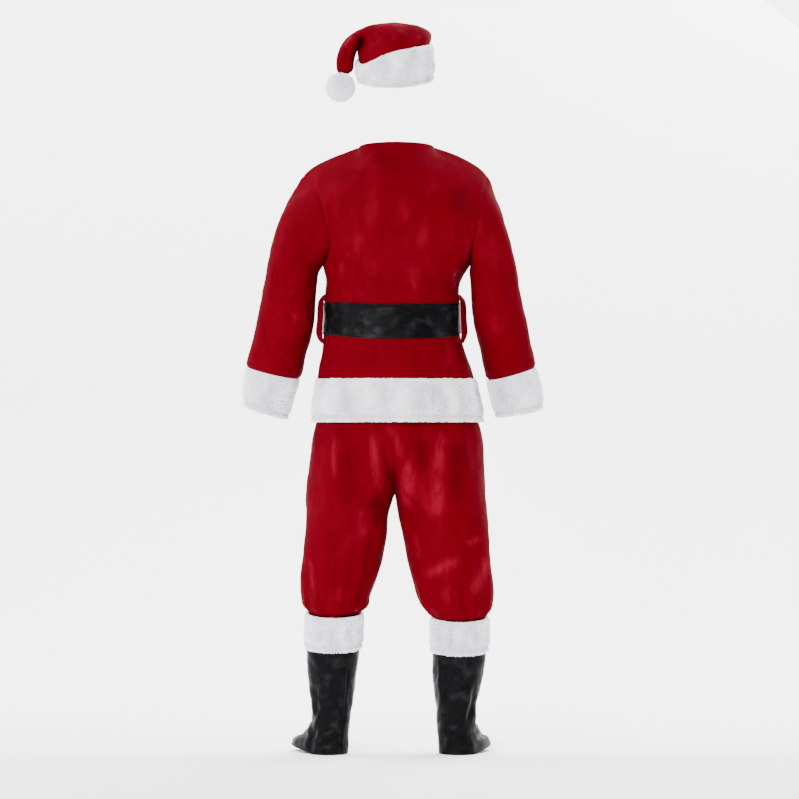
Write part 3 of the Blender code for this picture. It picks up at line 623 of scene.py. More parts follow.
LEG_PAINTED_LIGHT_BACK = (
    (44, -668, 37, -860, 5, 13, 1.0),
    (16, -660, -20, -768, -5, 10, 0.9),
    (14, -770, 10, -840, -4, 16, -0.7),
    (-40, -735, -29, -890, 4, 17, 1.0),
    (-130, -664, -104, -815, 6, 17, 1.0),
    (-106, -790, -90, -905, -8, 17, 1.0),
    (-78, -700, -70, -800, 5, 15, -0.5),
    (-156, -690, -150, -900, 4, 24, -0.5),
    (144, -676, 140, -815, 3, 6, 0.8),
    (98, -700, 108, -900, 6, 26, -0.3),
    (60, -862, 76, -960, 6, 14, 0.5),
    (26, -826, 50, -930, 5, 14, -0.7),
    (-42, -925, -64, -1012, -5, 11, 0.8),
    (-64, -1042, -166, -986, 6, 14, 1.0),
    (-172, -966, -212, -936, 4, 11, 0.9),
    (-232, -985, -182, -1095, -8, 16, 1.0),
    (-120, -1060, -150, -1110, 6, 16, 0.4),
    (160, -1040, 150, -1110, 4, 12, 0.5),
    (214, -985, 204, -1090, -4, 9, 0.6),
    (130, -1060, 128, -1110, 3, 9, 0.5),
)
HAT_PAINTED_LIGHT_BACK = (
    (-40, 300, 50, 292, 8, 10, 0.5),
    (-60, 280, -70, 262, 0, 14, 0.4),
    (92, 276, 124, 240, 8, 7, 0.6),
    (78, 276, 84, 246, -3, 6, -0.8),
)


# Settings a user may change

class SuitSettings(bpy.types.PropertyGroup):
    """Colours, cloth sizes, light and camera of the suit."""

    velour_colour: FloatVectorProperty(
        name="Velour", description="Colour of the velour where its nap lies flat",
        subtype="COLOR", size=4, min=0, max=1, default=(0.085, 0.0, 0.0036, 1))
    # Painted highlight: a lighter velour colour on streaks where brushed nap catches the light, also used on
    # random brushed patches.
    velour_nap_and_painted_highlight: FloatVectorProperty(
        name="Brushed velour", description="Colour of the velour where its nap stands toward the light",
        subtype="COLOR", size=4, min=0, max=1, default=(0.176, 0.003, 0.013, 1))
    # Painted shade: a darker velour colour on streaks where the nap lies in shade, also used on random
    # brushed patches and fine pile grain.
    velour_nap_grain_and_painted_shade: FloatVectorProperty(
        name="Shaded velour", description="Colour of the velour where its nap leans away",
        subtype="COLOR", size=4, min=0, max=1, default=(0.036, 0.0, 0.0019, 1))
    plush_colour: FloatVectorProperty(
        name="Plush", description="Colour of the plush trim",
        subtype="COLOR", size=4, min=0, max=1, default=(0.94, 0.935, 0.955, 1))
    # Painted shade: the greyer colour of the roots between the tufts and of the fold valleys.
    plush_painted_shade: FloatVectorProperty(
        name="Plush roots", description="Colour between the tufts of the plush",
        subtype="COLOR", size=4, min=0, max=1, default=(0.50, 0.48, 0.56, 1))
    leather_colour: FloatVectorProperty(
        name="Faux leather", description="Colour of the belt and the boot covers",
        subtype="COLOR", size=4, min=0, max=1, default=(0.0016, 0.0016, 0.0019, 1))
    metal_colour: FloatVectorProperty(
        name="Buckle metal", description="Colour of the buckle and its prong",
        subtype="COLOR", size=4, min=0, max=1, default=(0.42, 0.42, 0.43, 1))
    velour_thickness: FloatProperty(
        name="Velour thickness", description="Thickness of the velour's wall",
        unit="LENGTH", min=0.0005, max=0.003, default=0.0018)
    leather_thickness: FloatProperty(
        name="Faux leather thickness", description="Thickness of the boot covers' wall",
        unit="LENGTH", min=0.0005, max=0.002, default=0.0015)
    seam_depth: FloatProperty(
        name="Seam depth", description="Depth of the groove that a seam pulls into the velour",
        unit="LENGTH", min=0, max=0.004, default=0.0020)
    crease_share: FloatProperty(
        name="Creases", description="Share of the creases' depth that is kept",
        subtype="FACTOR", min=0, max=2, default=1.35)
    tuft_spacing: FloatProperty(
        name="Tuft spacing", description="Distance between neighbouring tufts of plush",
        unit="LENGTH", min=0.0025, max=0.01, default=0.0037)
    tuft_length: FloatProperty(
        name="Tuft length", description="Length of a tuft of plush",
        unit="LENGTH", min=0.001, max=0.012, default=0.0052)
    floor_colour: FloatVectorProperty(
        name="Floor", description="Colour of the floor and the backdrop",
        subtype="COLOR", size=4, min=0, max=1, default=(0.95, 0.95, 0.95, 1))
    light_power: FloatProperty(
        name="Light power", description="Power of the large soft light, in watts",
        min=0, max=2000, default=400)
    camera_distance: FloatProperty(
        name="Camera distance", description="Distance of the camera from the suit's centre",
        unit="LENGTH", min=2, max=30, default=9.0)


# Tables and vectors

def smooth(rows, at):
    """Read a table at new values of its first column, on a smooth cubic through its rows."""
    rows = np.array(rows, dtype=float)
    key = rows[:, 0]
    slope = np.gradient(rows, key, axis=0)
    at = np.clip(np.atleast_1d(np.array(at, dtype=float)), key[0], key[-1])
    low = np.clip(np.searchsorted(key, at) - 1, 0, len(key) - 2)
    step = (key[low + 1] - key[low])[:, None]
    s = (at[:, None] - key[low][:, None]) / step
    start = (2 * s**3 - 3 * s**2 + 1) * rows[low] + (s**3 - 2 * s**2 + s) * step * slope[low]
    end = (3 * s**2 - 2 * s**3) * rows[low + 1] + (s**3 - s**2) * step * slope[low + 1]
    return (start + end)[:, 1:]


def ease(value):
    """Go from 0 to 1 with level ends: three squares less two cubes."""
    value = np.clip(value, 0.0, 1.0)
    return value * value * (3 - 2 * value)


def soften(value, power=SECTION_POWER):
    """Raise the size of a sine or cosine to a power, and keep its sign."""
    return np.sign(value) * np.abs(value) ** power


def unit(vectors):
    """Vectors of length 1."""
    return vectors / np.maximum(np.linalg.norm(vectors, axis=-1, keepdims=True), 1e-9)


def grid_normals(grid, wrap=False):
    """Outward unit normals of a grid: down the rows crossed with along the columns."""
    if wrap:
        across = np.roll(grid, -1, axis=1) - np.roll(grid, 1, axis=1)
    else:
        across = np.gradient(grid, axis=1)
    normal = unit(np.cross(np.gradient(grid, axis=0), across))
    outward = grid - grid.mean(axis=1, keepdims=True)
    return normal if np.sum(normal * outward) > 0 else -normal


def share(*edges):
    """Give the edges that lie on one seam the mean of their normals."""
    mean = unit(sum(edges))
    for edge in edges:
        edge[...] = mean


def wander(points, size, seed):
    """Smooth uneven waves: the mean of twelve sines, each along its own direction at about that size."""
    dice = np.random.default_rng(seed)
    ways = unit(dice.normal(size=(12, 3))) * (2 * math.pi / size) * dice.uniform(0.6, 1.5, (12, 1))
    starts = dice.uniform(0, 2 * math.pi, 12)
    return np.sin(points @ ways.T + starts).mean(axis=-1) * 2


# Creases, painted light streaks and seams

def along_lines(points, table, power):
    """Sum of lines drawn on the cloth, seen from the back or the front.

    Across a line the height is a bell, taken down by a wider bell for a power above 0, so that a
    trough has soft shoulders. Along it the height fades in and out over the end share of the length.
    """
    end_share = 0.3
    total = np.zeros(points.shape[:-1])
    for x0, z0, x1, z1, bend, width, height in table:
        length = math.hypot(x1 - x0, z1 - z0)
        way_x = (x1 - x0) / length
        way_z = (z1 - z0) / length
        off_x = points[..., 0] - x0
        off_z = points[..., 2] - z0
        s = (off_x * way_x + off_z * way_z) / length
        inside = np.clip(s, 0, 1)
        across = (off_z * way_x - off_x * way_z - bend * 4 * inside * (1 - inside)) / width
        fade = ease(s / end_share) * ease((1 - s) / end_share)
        total += height * fade * (1 - power * across**2) * np.exp(-across**2)
    return total


def at_back(points, before=10, span=20):
    """Share of the back: 0 in front of the side seams, 1 behind them, and eased in between."""
    return ease((points[..., 1] + before) / span)


def both_sides(points, back_table, front_table, power=CLOTH_SHOULDERS):
    """Lines of the back where a point lies behind the side seam, and of the front before it."""
    behind = at_back(points)
    back = along_lines(points, back_table, power)
    front = along_lines(points, front_table, power)
    return back * behind + front * (1 - behind)


def run_across(grid):
    """Distance along each row from its first point."""
    steps = np.linalg.norm(np.diff(grid, axis=1), axis=-1)
    return np.hstack([np.zeros((len(grid), 1)), np.cumsum(steps, axis=1)])


def run_down(grid):
    """Distance down each column from its first point."""
    steps = np.linalg.norm(np.diff(grid, axis=0), axis=-1)
    return np.vstack([np.zeros((1, grid.shape[1])), np.cumsum(steps, axis=0)])


def to_ends(run):
    """Distance along each row to the nearer one of its ends."""
    return np.minimum(run, run[:, -1:] - run)


def close_ring(grid):
    """Repeat the first column of a ring after its last one."""
    return np.concatenate([grid, grid[:, :1]], axis=1)


def cell_area(grid):
    """Sum of the areas of a grid's cells."""
    side = grid[1:, :-1] - grid[:-1, :-1]
    over = grid[:-1, 1:] - grid[:-1, :-1]
    return np.linalg.norm(np.cross(side, over), axis=-1).sum()


def bell(distance, width):
    """A bell curve: 1 in the middle, and 0.37 at the width."""
    return np.exp(-(distance / width) ** 2)


# Meshes

def point_numbers(rows, columns):
    """Numbers of a grid's points, in the grid's own order."""
    return np.arange(rows * columns).reshape(rows, columns)


def quads_between(face):
    """Quads between neighbouring rows and columns of point numbers."""
    return np.stack([face[:-1, :-1], face[:-1, 1:], face[1:, 1:], face[1:, :-1]], axis=-1)


def add_piece(name, points, faces, material, node=None, marks=None):
    """One mesh object from whole arrays of points and faces, turned so that its volume is positive."""
    corners = points[faces]
    sides = faces.shape[1]
    volumes = [
        np.sum(corners[:, 0] * np.cross(corners[:, k], corners[:, k + 1])) for k in range(1, sides - 1)]
    if sum(volumes) < 0:
        faces = faces[:, ::-1]
    mesh = bpy.data.meshes.new(name)
    mesh.vertices.add(len(points))
    mesh.vertices.foreach_set("co", (points * MM).astype(np.float32).ravel())
    mesh.loops.add(faces.size)
    mesh.loops.foreach_set("vertex_index", faces.astype(np.int32).ravel())
    mesh.polygons.add(len(faces))
    mesh.polygons.foreach_set("loop_start", np.arange(0, faces.size, sides, dtype=np.int32))
    mesh.update(calc_edges=True)
    mesh.shade_smooth()
    mesh.set_sharp_from_angle(angle=math.radians(SHARP_ANGLE))
    for mark, values in (marks or {}).items():
        layer = mesh.attributes.new(mark, "FLOAT", "POINT")
        layer.data.foreach_set("value", values.astype(np.float32).ravel())
    mesh.materials.append(material)
    piece = bpy.data.objects.new(name, mesh)
    bpy.context.scene.collection.objects.link(piece)
    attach(piece, BODY)
    if node:
        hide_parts(node)
    return piece


def wall_faces(rows, columns, wrap):
    """Faces of a closed wall over two grids: the outer face, the inner one turned round, and the rims."""
    face = point_numbers(rows, columns)
    if wrap:
        face = close_ring(face)
    back = face + rows * columns
    quads = [
        quads_between(face),
        np.stack([back[:-1, :-1], back[1:, :-1], back[1:, 1:], back[:-1, 1:]], axis=-1),
        np.stack([face[0, :-1], back[0, :-1], back[0, 1:], face[0, 1:]], axis=-1),
        np.stack([face[-1, :-1], face[-1, 1:], back[-1, 1:], back[-1, :-1]], axis=-1),
    ]
    if not wrap:
        quads.append(np.stack([face[:-1, 0], face[1:, 0], back[1:, 0], back[:-1, 0]], axis=-1))
        quads.append(np.stack([face[:-1, -1], back[:-1, -1], back[1:, -1], face[1:, -1]], axis=-1))
    return np.concatenate([quad.reshape(-1, 4) for quad in quads])


def draw_back(grid, seams):
    """Move the named edges of a grid half a seam's gap toward the next points inside it."""
    grid = grid.copy()
    moves = {
        "T": (grid[0], grid[1]), "B": (grid[-1], grid[-2]),
        "L": (grid[:, 0], grid[:, 1]), "R": (grid[:, -1], grid[:, -2]),
    }
    for mark in seams:
        edge, inside = moves[mark]
        edge += unit(inside - edge) * SEAM_GAP / 2
    return grid


def cloth_piece(name, grid, normal, look, above=0.0, below=1.8, seams="", wrap=False, node=None,
                nap=None, fold=None, slant=0.0):
    """A slant moves the inner face's side edges on, so that no light passes straight through a seam.
    """
    outer = draw_back(grid, seams) + normal * above
    inner = outer - normal * (above + below)
    if slant:
        inner[:, 0] += unit(inner[:, 1] - inner[:, 0]) * slant
        inner[:, -1] += unit(inner[:, -1] - inner[:, -2]) * slant
    rows, columns = grid.shape[:2]
    points = np.concatenate([outer.reshape(-1, 3), inner.reshape(-1, 3)])
    marks = {}
    # The nap mark carries painted highlight and painted shade on the velour, and the fold mark painted light
    # and shade on the plush's folds and stitch groove.
    for mark, values in (("nap", nap), ("fold", fold)):
        if values is not None:
            marks[mark] = np.concatenate([values.ravel(), values.ravel()])
    piece = add_piece(name, points, wall_faces(rows, columns, wrap), look, node, marks)
    declare_cut(close_ring(grid) if wrap else grid)
    return piece


def declare_cut(grid):
    """Work out the flat cut: the longest way round, the longest way down, and the area of all cells."""
    width = run_across(grid)[:, -1].max() * MM
    length = run_down(grid)[-1].max() * MM
    area = cell_area(grid) * MM * MM
    area = min(max(area, LEAST_FILL * width * length), width * length)


# Plush pile

# A lock of pile: its faces over three points at the root, three in the middle and the tip, the painted
# shade of each point, dark at the root and bright at the tip, the shares of its length below and above the
# middle, and its width there
LOCK_FACES = (
    (0, 2, 1), (0, 1, 4), (0, 4, 3), (1, 2, 5), (1, 5, 4),
    (2, 0, 3), (2, 3, 5), (3, 4, 6), (4, 5, 6), (5, 3, 6),
)
LOCK_PAINTED_SHADE = (0, 0, 0, 0.7, 0.7, 0.7, 1.0)
LOCK_LOWER = 0.55
LOCK_UPPER = 0.5
LOCK_MIDDLE_WIDTH = 0.82


def tufts(name, roots, normals, combs, length, radius, seed, look, folds=None, spread=0.55):
    """Joined tufts of pile, each a three-sided lock with a bend and a point.

    A lock leaves its root along the normal, leaned by a random amount toward its comb direction and to
    the side, and its upper half leans more. Its half width falls from root to middle and ends in a tip.
    """
    dice = np.random.default_rng(seed)
    count = len(roots)
    sideways = unit(np.cross(normals, combs))
    lean = dice.uniform(0.1, 0.9, (count, 1)) * spread
    swing = dice.normal(0, 0.5, (count, 1)) * spread
    first = unit(normals + combs * lean + sideways * swing)
    second = unit(normals * 0.7 + combs * lean * 1.9 + sideways * swing * 1.5)
    size = length * dice.uniform(0.75, 1.2, (count, 1))
    middle = roots + first * size * LOCK_LOWER
    tip = middle + second * size * LOCK_UPPER
    turn = dice.uniform(0, 2 * math.pi, (count, 1, 1)) + np.arange(3)[None, :, None] * 2 * math.pi / 3
    ring = combs[:, None] * np.cos(turn) + sideways[:, None] * np.sin(turn)
    wide = radius * dice.uniform(0.8, 1.2, (count, 1, 1))
    low = roots[:, None] + ring * wide
    mid = middle[:, None] + ring * wide * LOCK_MIDDLE_WIDTH
    points = np.concatenate([low, mid, tip[:, None]], axis=1).reshape(-1, 3)
    each = len(LOCK_PAINTED_SHADE)
    faces = (np.arange(count)[:, None, None] * each + np.array(LOCK_FACES)[None]).reshape(-1, 3)
    if folds is None:
        folds = np.zeros((count, 1))
    # Painted shade: the tip mark darkens each lock toward its root, and the fold mark carries painted light
    # and shade of the folds.
    marks = {"tip": np.tile(LOCK_PAINTED_SHADE, count), "fold": np.repeat(folds.ravel(), each)}
    return add_piece(name, points, faces, look, marks=marks)


def pile_over(name, grid, normal, above, settings, look, wrap, seed, fold, edge_rows, stitch):
    """Cover a grid with tufts at random places, shorter on a line of stitches.

    Places are drawn evenly over rows and columns, and read between the four points around them.
    An edge row has more tufts than the others.
    """
    dice = np.random.default_rng(seed)
    if wrap:
        grid, normal, fold = close_ring(grid), close_ring(normal), close_ring(fold)
    rows, columns = grid.shape[:2]
    spacing = settings.tuft_spacing / MM
    down = max(2, int(round(run_down(grid)[-1].mean() / spacing)))
    around = max(2, int(round(cell_area(grid) / spacing**2 / down)))
    most = 0.9999
    v, u = np.meshgrid((np.arange(down) + 0.5) / down, (np.arange(around) + 0.5) / around, indexing="ij")
    v = np.clip(v + dice.uniform(-0.5, 0.5, v.shape) / down, 0, most).ravel() * (rows - 1)
    u = np.clip(u + dice.uniform(-0.5, 0.5, u.shape) / around, 0, most).ravel() * (columns - 1)
    edge_share = 1.6
    on_edge = int(around * edge_share)
    extra_v = [np.full(on_edge, row_share * (rows - 1)) for row_share in edge_rows]
    extra_u = [dice.uniform(0, columns - 1.001, len(line)) for line in extra_v]
    v = np.concatenate([v] + extra_v)
    u = np.concatenate([u] + extra_u)
    i = np.minimum(v.astype(int), rows - 2)
    j = np.minimum(u.astype(int), columns - 2)
    a = (v - i)[:, None]
    b = (u - j)[:, None]

    def read(field):
        """Blend a field between the four points round each place."""
        upper = field[i, j] * (1 - b) + field[i, j + 1] * b
        lower = field[i + 1, j] * (1 - b) + field[i + 1, j + 1] * b
        return upper * (1 - a) + lower * a

    out = unit(read(normal))
    comb = unit(read(np.gradient(grid, axis=0)))
    comb = unit(comb - out * np.sum(comb * out, axis=-1, keepdims=True))
    depth = run_down(grid)
    height = read(depth[..., None]) - read(np.broadcast_to(depth[-1:, :, None], (rows, columns, 1)))
    stitch_width = 2.2
    shorter = 0.6 * bell(height + stitch, stitch_width)
    length = settings.tuft_length / MM * (1 - shorter)
    root_depth = 1.0
    roots = read(grid) + out * (above - root_depth)
    radius = spacing * 0.58
    return tufts(name, roots, out, comb, length, radius, seed + 1, look, folds=read(fold[..., None]))


# Jacket

def coat_at(drop, angle):
    """Points of the jacket's body at arrays of drops and angles.

    A section is a squared ellipse: centre plus half width times the softened cosine, and depth times
    the softened sine, with the folds of the skirt added to both and the sag taken from the height.
    """
    drop, angle = np.broadcast_arrays(np.asarray(drop, dtype=float), np.asarray(angle, dtype=float))
    centre, half_width, back, front, sag = smooth(COAT_SECTIONS, drop.ravel()).T.reshape((5,) + drop.shape)
    depth = np.where(np.sin(angle) >= 0, back, front)
    height = SKIRT_FOLD_HEIGHT * ease((drop - BELT_BOTTOM_DROP) / SKIRT_FOLD_FADE)
    fold = height * np.sin(SKIRT_FOLDS * angle + 0.7 * np.sin(2 * angle))
    x = centre + (half_width + fold) * soften(np.cos(angle))
    y = (depth + fold) * soften(np.sin(angle))
    z = -drop - sag * np.sin(angle) ** 2
    return np.stack([x, y, z], axis=-1)


def on_coat(drop, angle, out):
    """Points moved out from the jacket's body by a distance, along its normal at small steps."""
    turn_step = 0.002
    drop_step = 0.5
    across = coat_at(drop, angle + turn_step) - coat_at(drop, angle - turn_step)
    down = coat_at(drop + drop_step, angle) - coat_at(drop - drop_step, angle)
    return coat_at(drop, angle) + unit(np.cross(across, down)) * -np.asarray(out)[..., None]


def armhole(table, share_up, sign):
    """Points of half an armhole, at the back for a sign of 1 and at the front for -1."""
    points = smooth(table, share_up)
    points[:, 1] *= sign
    return points


def top_line(sign):
    """Shoulder seam, neck and shoulder seam: table points, half an ellipse, and table points."""
    at = np.linspace(0, 1, SHOULDER_CELLS + 1)
    left_x, right_x, z = smooth(SHOULDER, at).T
    left = np.stack([left_x, np.zeros_like(at), z], axis=-1)
    right = np.stack([right_x, np.zeros_like(at), z], axis=-1)[::-1]
    neck_y, neck_z = NECK_BACK if sign > 0 else NECK_FRONT
    turn = np.linspace(0, math.pi, COAT_HALF_CELLS - 2 * SHOULDER_CELLS + 1)[1:-1]
    side_z = left[-1, 2]
    neck = np.stack([
        NECK_X + NECK_HALF_WIDTH * np.cos(turn),
        neck_y * np.sin(turn),
        side_z + (neck_z - side_z) * np.sin(turn),
    ], axis=-1)
    return np.concatenate([left, neck, right])


def blur(line, spread):
    """Average each point of a line with its neighbours under a bell, and keep both ends in place."""
    count = len(line)
    padded = np.concatenate([2 * line[0] - line[:0:-1], line, 2 * line[-1] - line[-2::-1]])
    step = np.arange(-3 * spread, 3 * spread + 1)
    weight = bell(step, spread * 1.4)
    weight /= weight.sum()
    smoothed = np.stack([np.convolve(padded[:, k], weight, mode="same") for k in range(3)], axis=-1)
    return smoothed[count - 1:2 * count - 1]


def yoke(sign):
    """Rows from shoulders to underarm: a squared half ellipse between the armholes, through the centre
    line, lifted to the top line by the square of the share of the way up."""
    up = np.linspace(1, 0, YOKE_CELLS + 1)
    left = armhole(ARMHOLE_LEFT, up, sign)
    right = armhole(ARMHOLE_RIGHT, up, sign)
    line_y, line_z = smooth(BACK_LINE if sign > 0 else FRONT_LINE, up).T
    centre = np.stack([NECK_X + 0 * up, line_y, line_z], axis=-1)
    turn = np.linspace(0, math.pi, COAT_HALF_CELLS + 1)
    cosine = soften(np.cos(turn))[None, :, None]
    sine = soften(np.sin(turn))[None, :, None]
    middle = (left + right)[:, None] / 2
    rows = middle + (left - right)[:, None] / 2 * cosine + (centre[:, None] - middle) * sine
    lift = top_line(sign) - rows[0]
    below_edge = 0.10
    spread = 6
    round_off = ease((1 - up) / below_edge)[:, None, None]
    lift = lift * (1 - round_off) + blur(lift, spread) * round_off
    return rows + (up ** 2)[:, None, None] * lift


def coat_half(sign):
    """The whole back or front with its trim: the yoke's rows, then sections down to the hem."""
    start, stop = (0, math.pi) if sign > 0 else (2 * math.pi, math.pi)
    angle = np.linspace(start, stop, COAT_HALF_CELLS + 1)
    body = np.linspace(UNDERARM_DROP, TRIM_TOP_DROP, COAT_LOWER_CELLS + 1)
    trim = np.linspace(TRIM_TOP_DROP, TRIM_BOTTOM_DROP, TRIM_CELLS + 1)[1:]
    lower = coat_at(np.concatenate([body, trim])[:, None], angle[None, :])
    return np.concatenate([yoke(sign)[:-1], lower])


def armhole_ring(back, front, side):
    """Join the side edges of back and front into a ring: shoulder, back, underarm, front."""
    column = 0 if side > 0 else -1
    return np.concatenate([back[:YOKE_CELLS + 1, column], front[YOKE_CELLS - 1:0:-1, column]])


def limb_ring(row, count):
    """One section of a sleeve: an ellipse from its outer point over the back to its inner point."""
    outer_x, outer_z, inner_x, inner_z, y, depth = row
    turn = np.linspace(0, 2 * math.pi, count, endpoint=False)[:, None]
    outer = np.array([outer_x, y, outer_z])
    inner = np.array([inner_x, y, inner_z])
    return (outer + inner) / 2 + (outer - inner) / 2 * np.cos(turn) + np.array([0, depth, 0]) * np.sin(turn)


def loft(rings, cells):
    """Run a smooth cubic surface through rings, and cut it into a number of rows."""
    rings = np.array(rings)
    table = np.hstack([np.arange(len(rings))[:, None], rings.reshape(len(rings), -1)])
    return smooth(table, np.linspace(0, len(rings) - 1, cells + 1)).reshape(cells + 1, -1, 3)


def coat_grids():
    """Back and front of the jacket with shared seam normals."""
    back = coat_half(1)
    front = coat_half(-1)
    back_normal = grid_normals(back)
    front_normal = grid_normals(front)
    for column in (0, -1):
        share(back_normal[YOKE_CELLS:, column], front_normal[YOKE_CELLS:, column])
    for columns in (slice(0, SHOULDER_CELLS + 1), slice(-SHOULDER_CELLS - 1, None)):
        share(back_normal[0, columns], front_normal[0, columns])
    return back, front, back_normal, front_normal


def sleeve_grids(side, sleeve_rows, cuff_rows, back, front):
    """A sleeve and its cuff as one tube, with the armhole's normals shared with the jacket's edge."""
    count = 2 * YOKE_CELLS
    ring = armhole_ring(back[0], front[0], side)
    sleeve = loft([ring] + [limb_ring(row, count) for row in sleeve_rows], SLEEVE_CELLS)
    cuff = loft([limb_ring(row, count) for row in cuff_rows], CUFF_CELLS)
    whole = np.concatenate([sleeve, cuff[1:]])
    toward_back = whole[..., 1] - whole[..., 1].mean(axis=1, keepdims=True)
    toward_back = np.maximum(toward_back / np.abs(toward_back).max(axis=1, keepdims=True), 0)
    fade_rows = 8
    near_cuff = ease((np.arange(len(whole)) - SLEEVE_CELLS + fade_rows) / fade_rows)[:, None]
    whole[..., 2] -= CUFF_DIP * near_cuff * toward_back
    normal = grid_normals(whole, wrap=True)
    seam = armhole_ring(back[1], front[1], side)
    column = 0 if side > 0 else -1
    seam[0] = back[1][0, column] + front[1][0, column]
    seam[YOKE_CELLS] = back[1][YOKE_CELLS, column]
    seam = seam + normal[0]
    seam[YOKE_CELLS - DETAIL:YOKE_CELLS + DETAIL + 1, 2] -= UNDERARM_LEAN
    seam = unit(seam)
    normal[0] = seam
    back[1][:YOKE_CELLS + 1, column] = seam[:YOKE_CELLS + 1]
    front[1][:YOKE_CELLS + 1, column] = np.concatenate([seam[:1], seam[:YOKE_CELLS - 1:-1]])
    return whole, normal


def tuck_depth(rows, hem):
    """How far the right front lies under the left one, by row and column of the front.

    The depth is full to one coarse cell past the centre line, and gone two cells further on.
    """
    column = np.arange(COAT_HALF_CELLS + 1) / DETAIL
    reach = ease((COAT_HALF_CELLS / DETAIL / 2 + 3 - column) / 2)
    drops = np.linspace(UNDERARM_DROP, TRIM_TOP_DROP, COAT_LOWER_CELLS + 1)
    belt_bottom = YOKE_CELLS + int(np.argmin(np.abs(drops - BELT_BOTTOM_DROP)))
    lower = ease((np.arange(rows) - belt_bottom) / (hem - belt_bottom))
    return (TUCK_ABOVE + (TUCK_BELOW - TUCK_ABOVE) * lower)[:, None] * reach[None]


def coat_relief(grid, settings, seat_of_trim):
    """Height of creases and seam grooves over one half of the jacket, in millimetres.

    The creases fade out at the belt, at the seams and over the plush, and bells follow the seams.
    Above and below the belt the cloth is pinched into small tucks.
    """
    keep = settings.crease_share
    fade = 22
    seam_width = 5
    pinch_height = 0.9
    pinch_spread = 16
    tuck_width = 7.5
    across = run_across(grid)
    from_side = to_ends(across)
    down = run_down(grid)
    drop = -grid[..., 2]
    above_belt = ease((drop - BELT_TOP_DROP + fade) / fade)
    belt = 1 - above_belt * ease((BELT_BOTTOM_DROP + fade - drop) / fade)
    edge = ease(from_side / fade) * ease(down / fade)
    creases = -both_sides(grid, COAT_CREASES_BACK, COAT_CREASES_FRONT)
    waves = wander(grid, 120, 3) * 1.2 + wander(grid, 46, 4) * 0.5
    above_trim = 1 - ease((np.arange(len(grid)) - seat_of_trim + 6) / 12)[:, None]
    relief = keep * (creases * above_trim + waves) * belt * edge
    depth = settings.seam_depth / MM
    shoulder = np.zeros_like(across)
    shoulder[:, :SHOULDER_CELLS + 1] = 1
    shoulder[:, -SHOULDER_CELLS - 1:] = 1
    below_arm = (np.arange(len(grid)) > YOKE_CELLS)[:, None]
    relief -= depth * bell(from_side, seam_width) * (1 - 0.5 * below_arm)
    relief -= depth * 0.5 * bell(down, seam_width) * shoulder
    pinch = bell(drop - BELT_TOP_DROP + 12, pinch_spread)
    pinch += bell(drop - BELT_BOTTOM_DROP - 14, pinch_spread)
    tucks = np.sin(across / tuck_width + 2 * np.sin(across / 31)) * ease(from_side / 30)
    above_pile = 1 - ease((down - down[seat_of_trim] + 10) / 20)
    relief += keep * pinch_height * np.abs(tucks) * pinch * above_pile
    return relief


def build_jacket(settings, looks):
    """Back, two fronts, two sleeves, and the plush of the hem and the cuffs."""
    back, front, back_normal, front_normal = coat_grids()
    hem = YOKE_CELLS + COAT_LOWER_CELLS
    sleeves = []
    for side_name, side, sleeve_rows, cuff_rows in (
        ("left", 1, SLEEVE_LEFT, CUFF_LEFT),
        ("right", -1, SLEEVE_RIGHT, CUFF_RIGHT),
    ):
        sleeves.append((side_name, sleeve_grids(
            side, sleeve_rows, cuff_rows, (back, back_normal), (front, front_normal))))
    tucked = front - front_normal * tuck_depth(len(front), hem)[..., None]
    middle = COAT_HALF_CELLS // 2
    left = slice(0, middle + 2 * DETAIL)
    right = slice(middle - DETAIL, None)
    halves = (
        ("back", back, back_normal, slice(None), "LR"),
        ("front_left", front, front_normal, left, "L"),
        ("front_right", tucked, front_normal, right, "R"),
    )
    for name, grid, normal, columns, sides in halves:
        relief = coat_relief(grid, settings, hem)
        dressed = grid + normal * relief[..., None]
        # Painted highlight and painted shade streaks for the velour's nap mark, on the back only.
        nap = 0.6 * along_lines(grid, COAT_PAINTED_LIGHT_BACK, 0) * at_back(grid)
        part = dressed[:, columns]
        part_normal = normal[:, columns]
        cloth_piece(
            "jacket_" + name + "_cloth", part[:hem + 1], part_normal[:hem + 1], looks["velour"],
            below=settings.velour_thickness / MM, seams="TB" + sides, node="jacket_" + name,
            nap=nap[:, columns][:hem + 1])
        plush_piece(
            "hem_trim_" + name, part[hem:], part_normal[hem:], settings, looks, "T" + sides, False, 11)
    for side_name, (whole, normal) in sleeves:
        build_sleeve(side_name, whole, normal, settings, looks)


def plush_piece(name, grid, normal, settings, looks, seams, wrap, seed, above=2.2, below=1.6, stitch=12):
    """A backing sheet of plush, and the pile that covers it.

    Its relief is the sum of uneven waves, broad folds that run down the cloth (waves of the place
    with its height pressed to a sixth), a groove at the line of stitches, and both edges rolled in.
    """
    down = run_down(grid)
    to_edge = down[-1:] - down
    tall = grid * np.array([1.0, 1.0, 0.16])
    relief = wander(grid, 30, seed) * 0.9 + wander(tall, 54, seed + 100) * 1.6
    relief -= both_sides(grid, PLUSH_CREASES_BACK, PLUSH_CREASES_FRONT, PLUSH_SHOULDERS)
    highest_fold = 3.4
    stitch_depth = 3.0
    roll = 9
    roll_below = 3.0
    roll_above = 2.4
    # The fold mark is painted light and shade: brighter on the ridges of the relief, darker in its valleys
    # and in the stitch groove.
    fold = relief / highest_fold - 0.9 * bell(to_edge - stitch, 3.5)
    relief = relief - stitch_depth * bell(to_edge - stitch, 3.2)
    relief = relief - roll_below * (1 - ease(to_edge / roll)) - roll_above * (1 - ease(down / roll))
    bed = grid + normal * relief[..., None]
    pile = pile_over(name + "_pile", bed, normal, above, settings, looks["plush"], wrap, seed,
                     fold, (0.997, 0.985), stitch)
    return cloth_piece(name + "_backing", bed, normal, looks["plush"], above=above, below=below, seams=seams,
                       wrap=wrap, node=name, fold=fold)


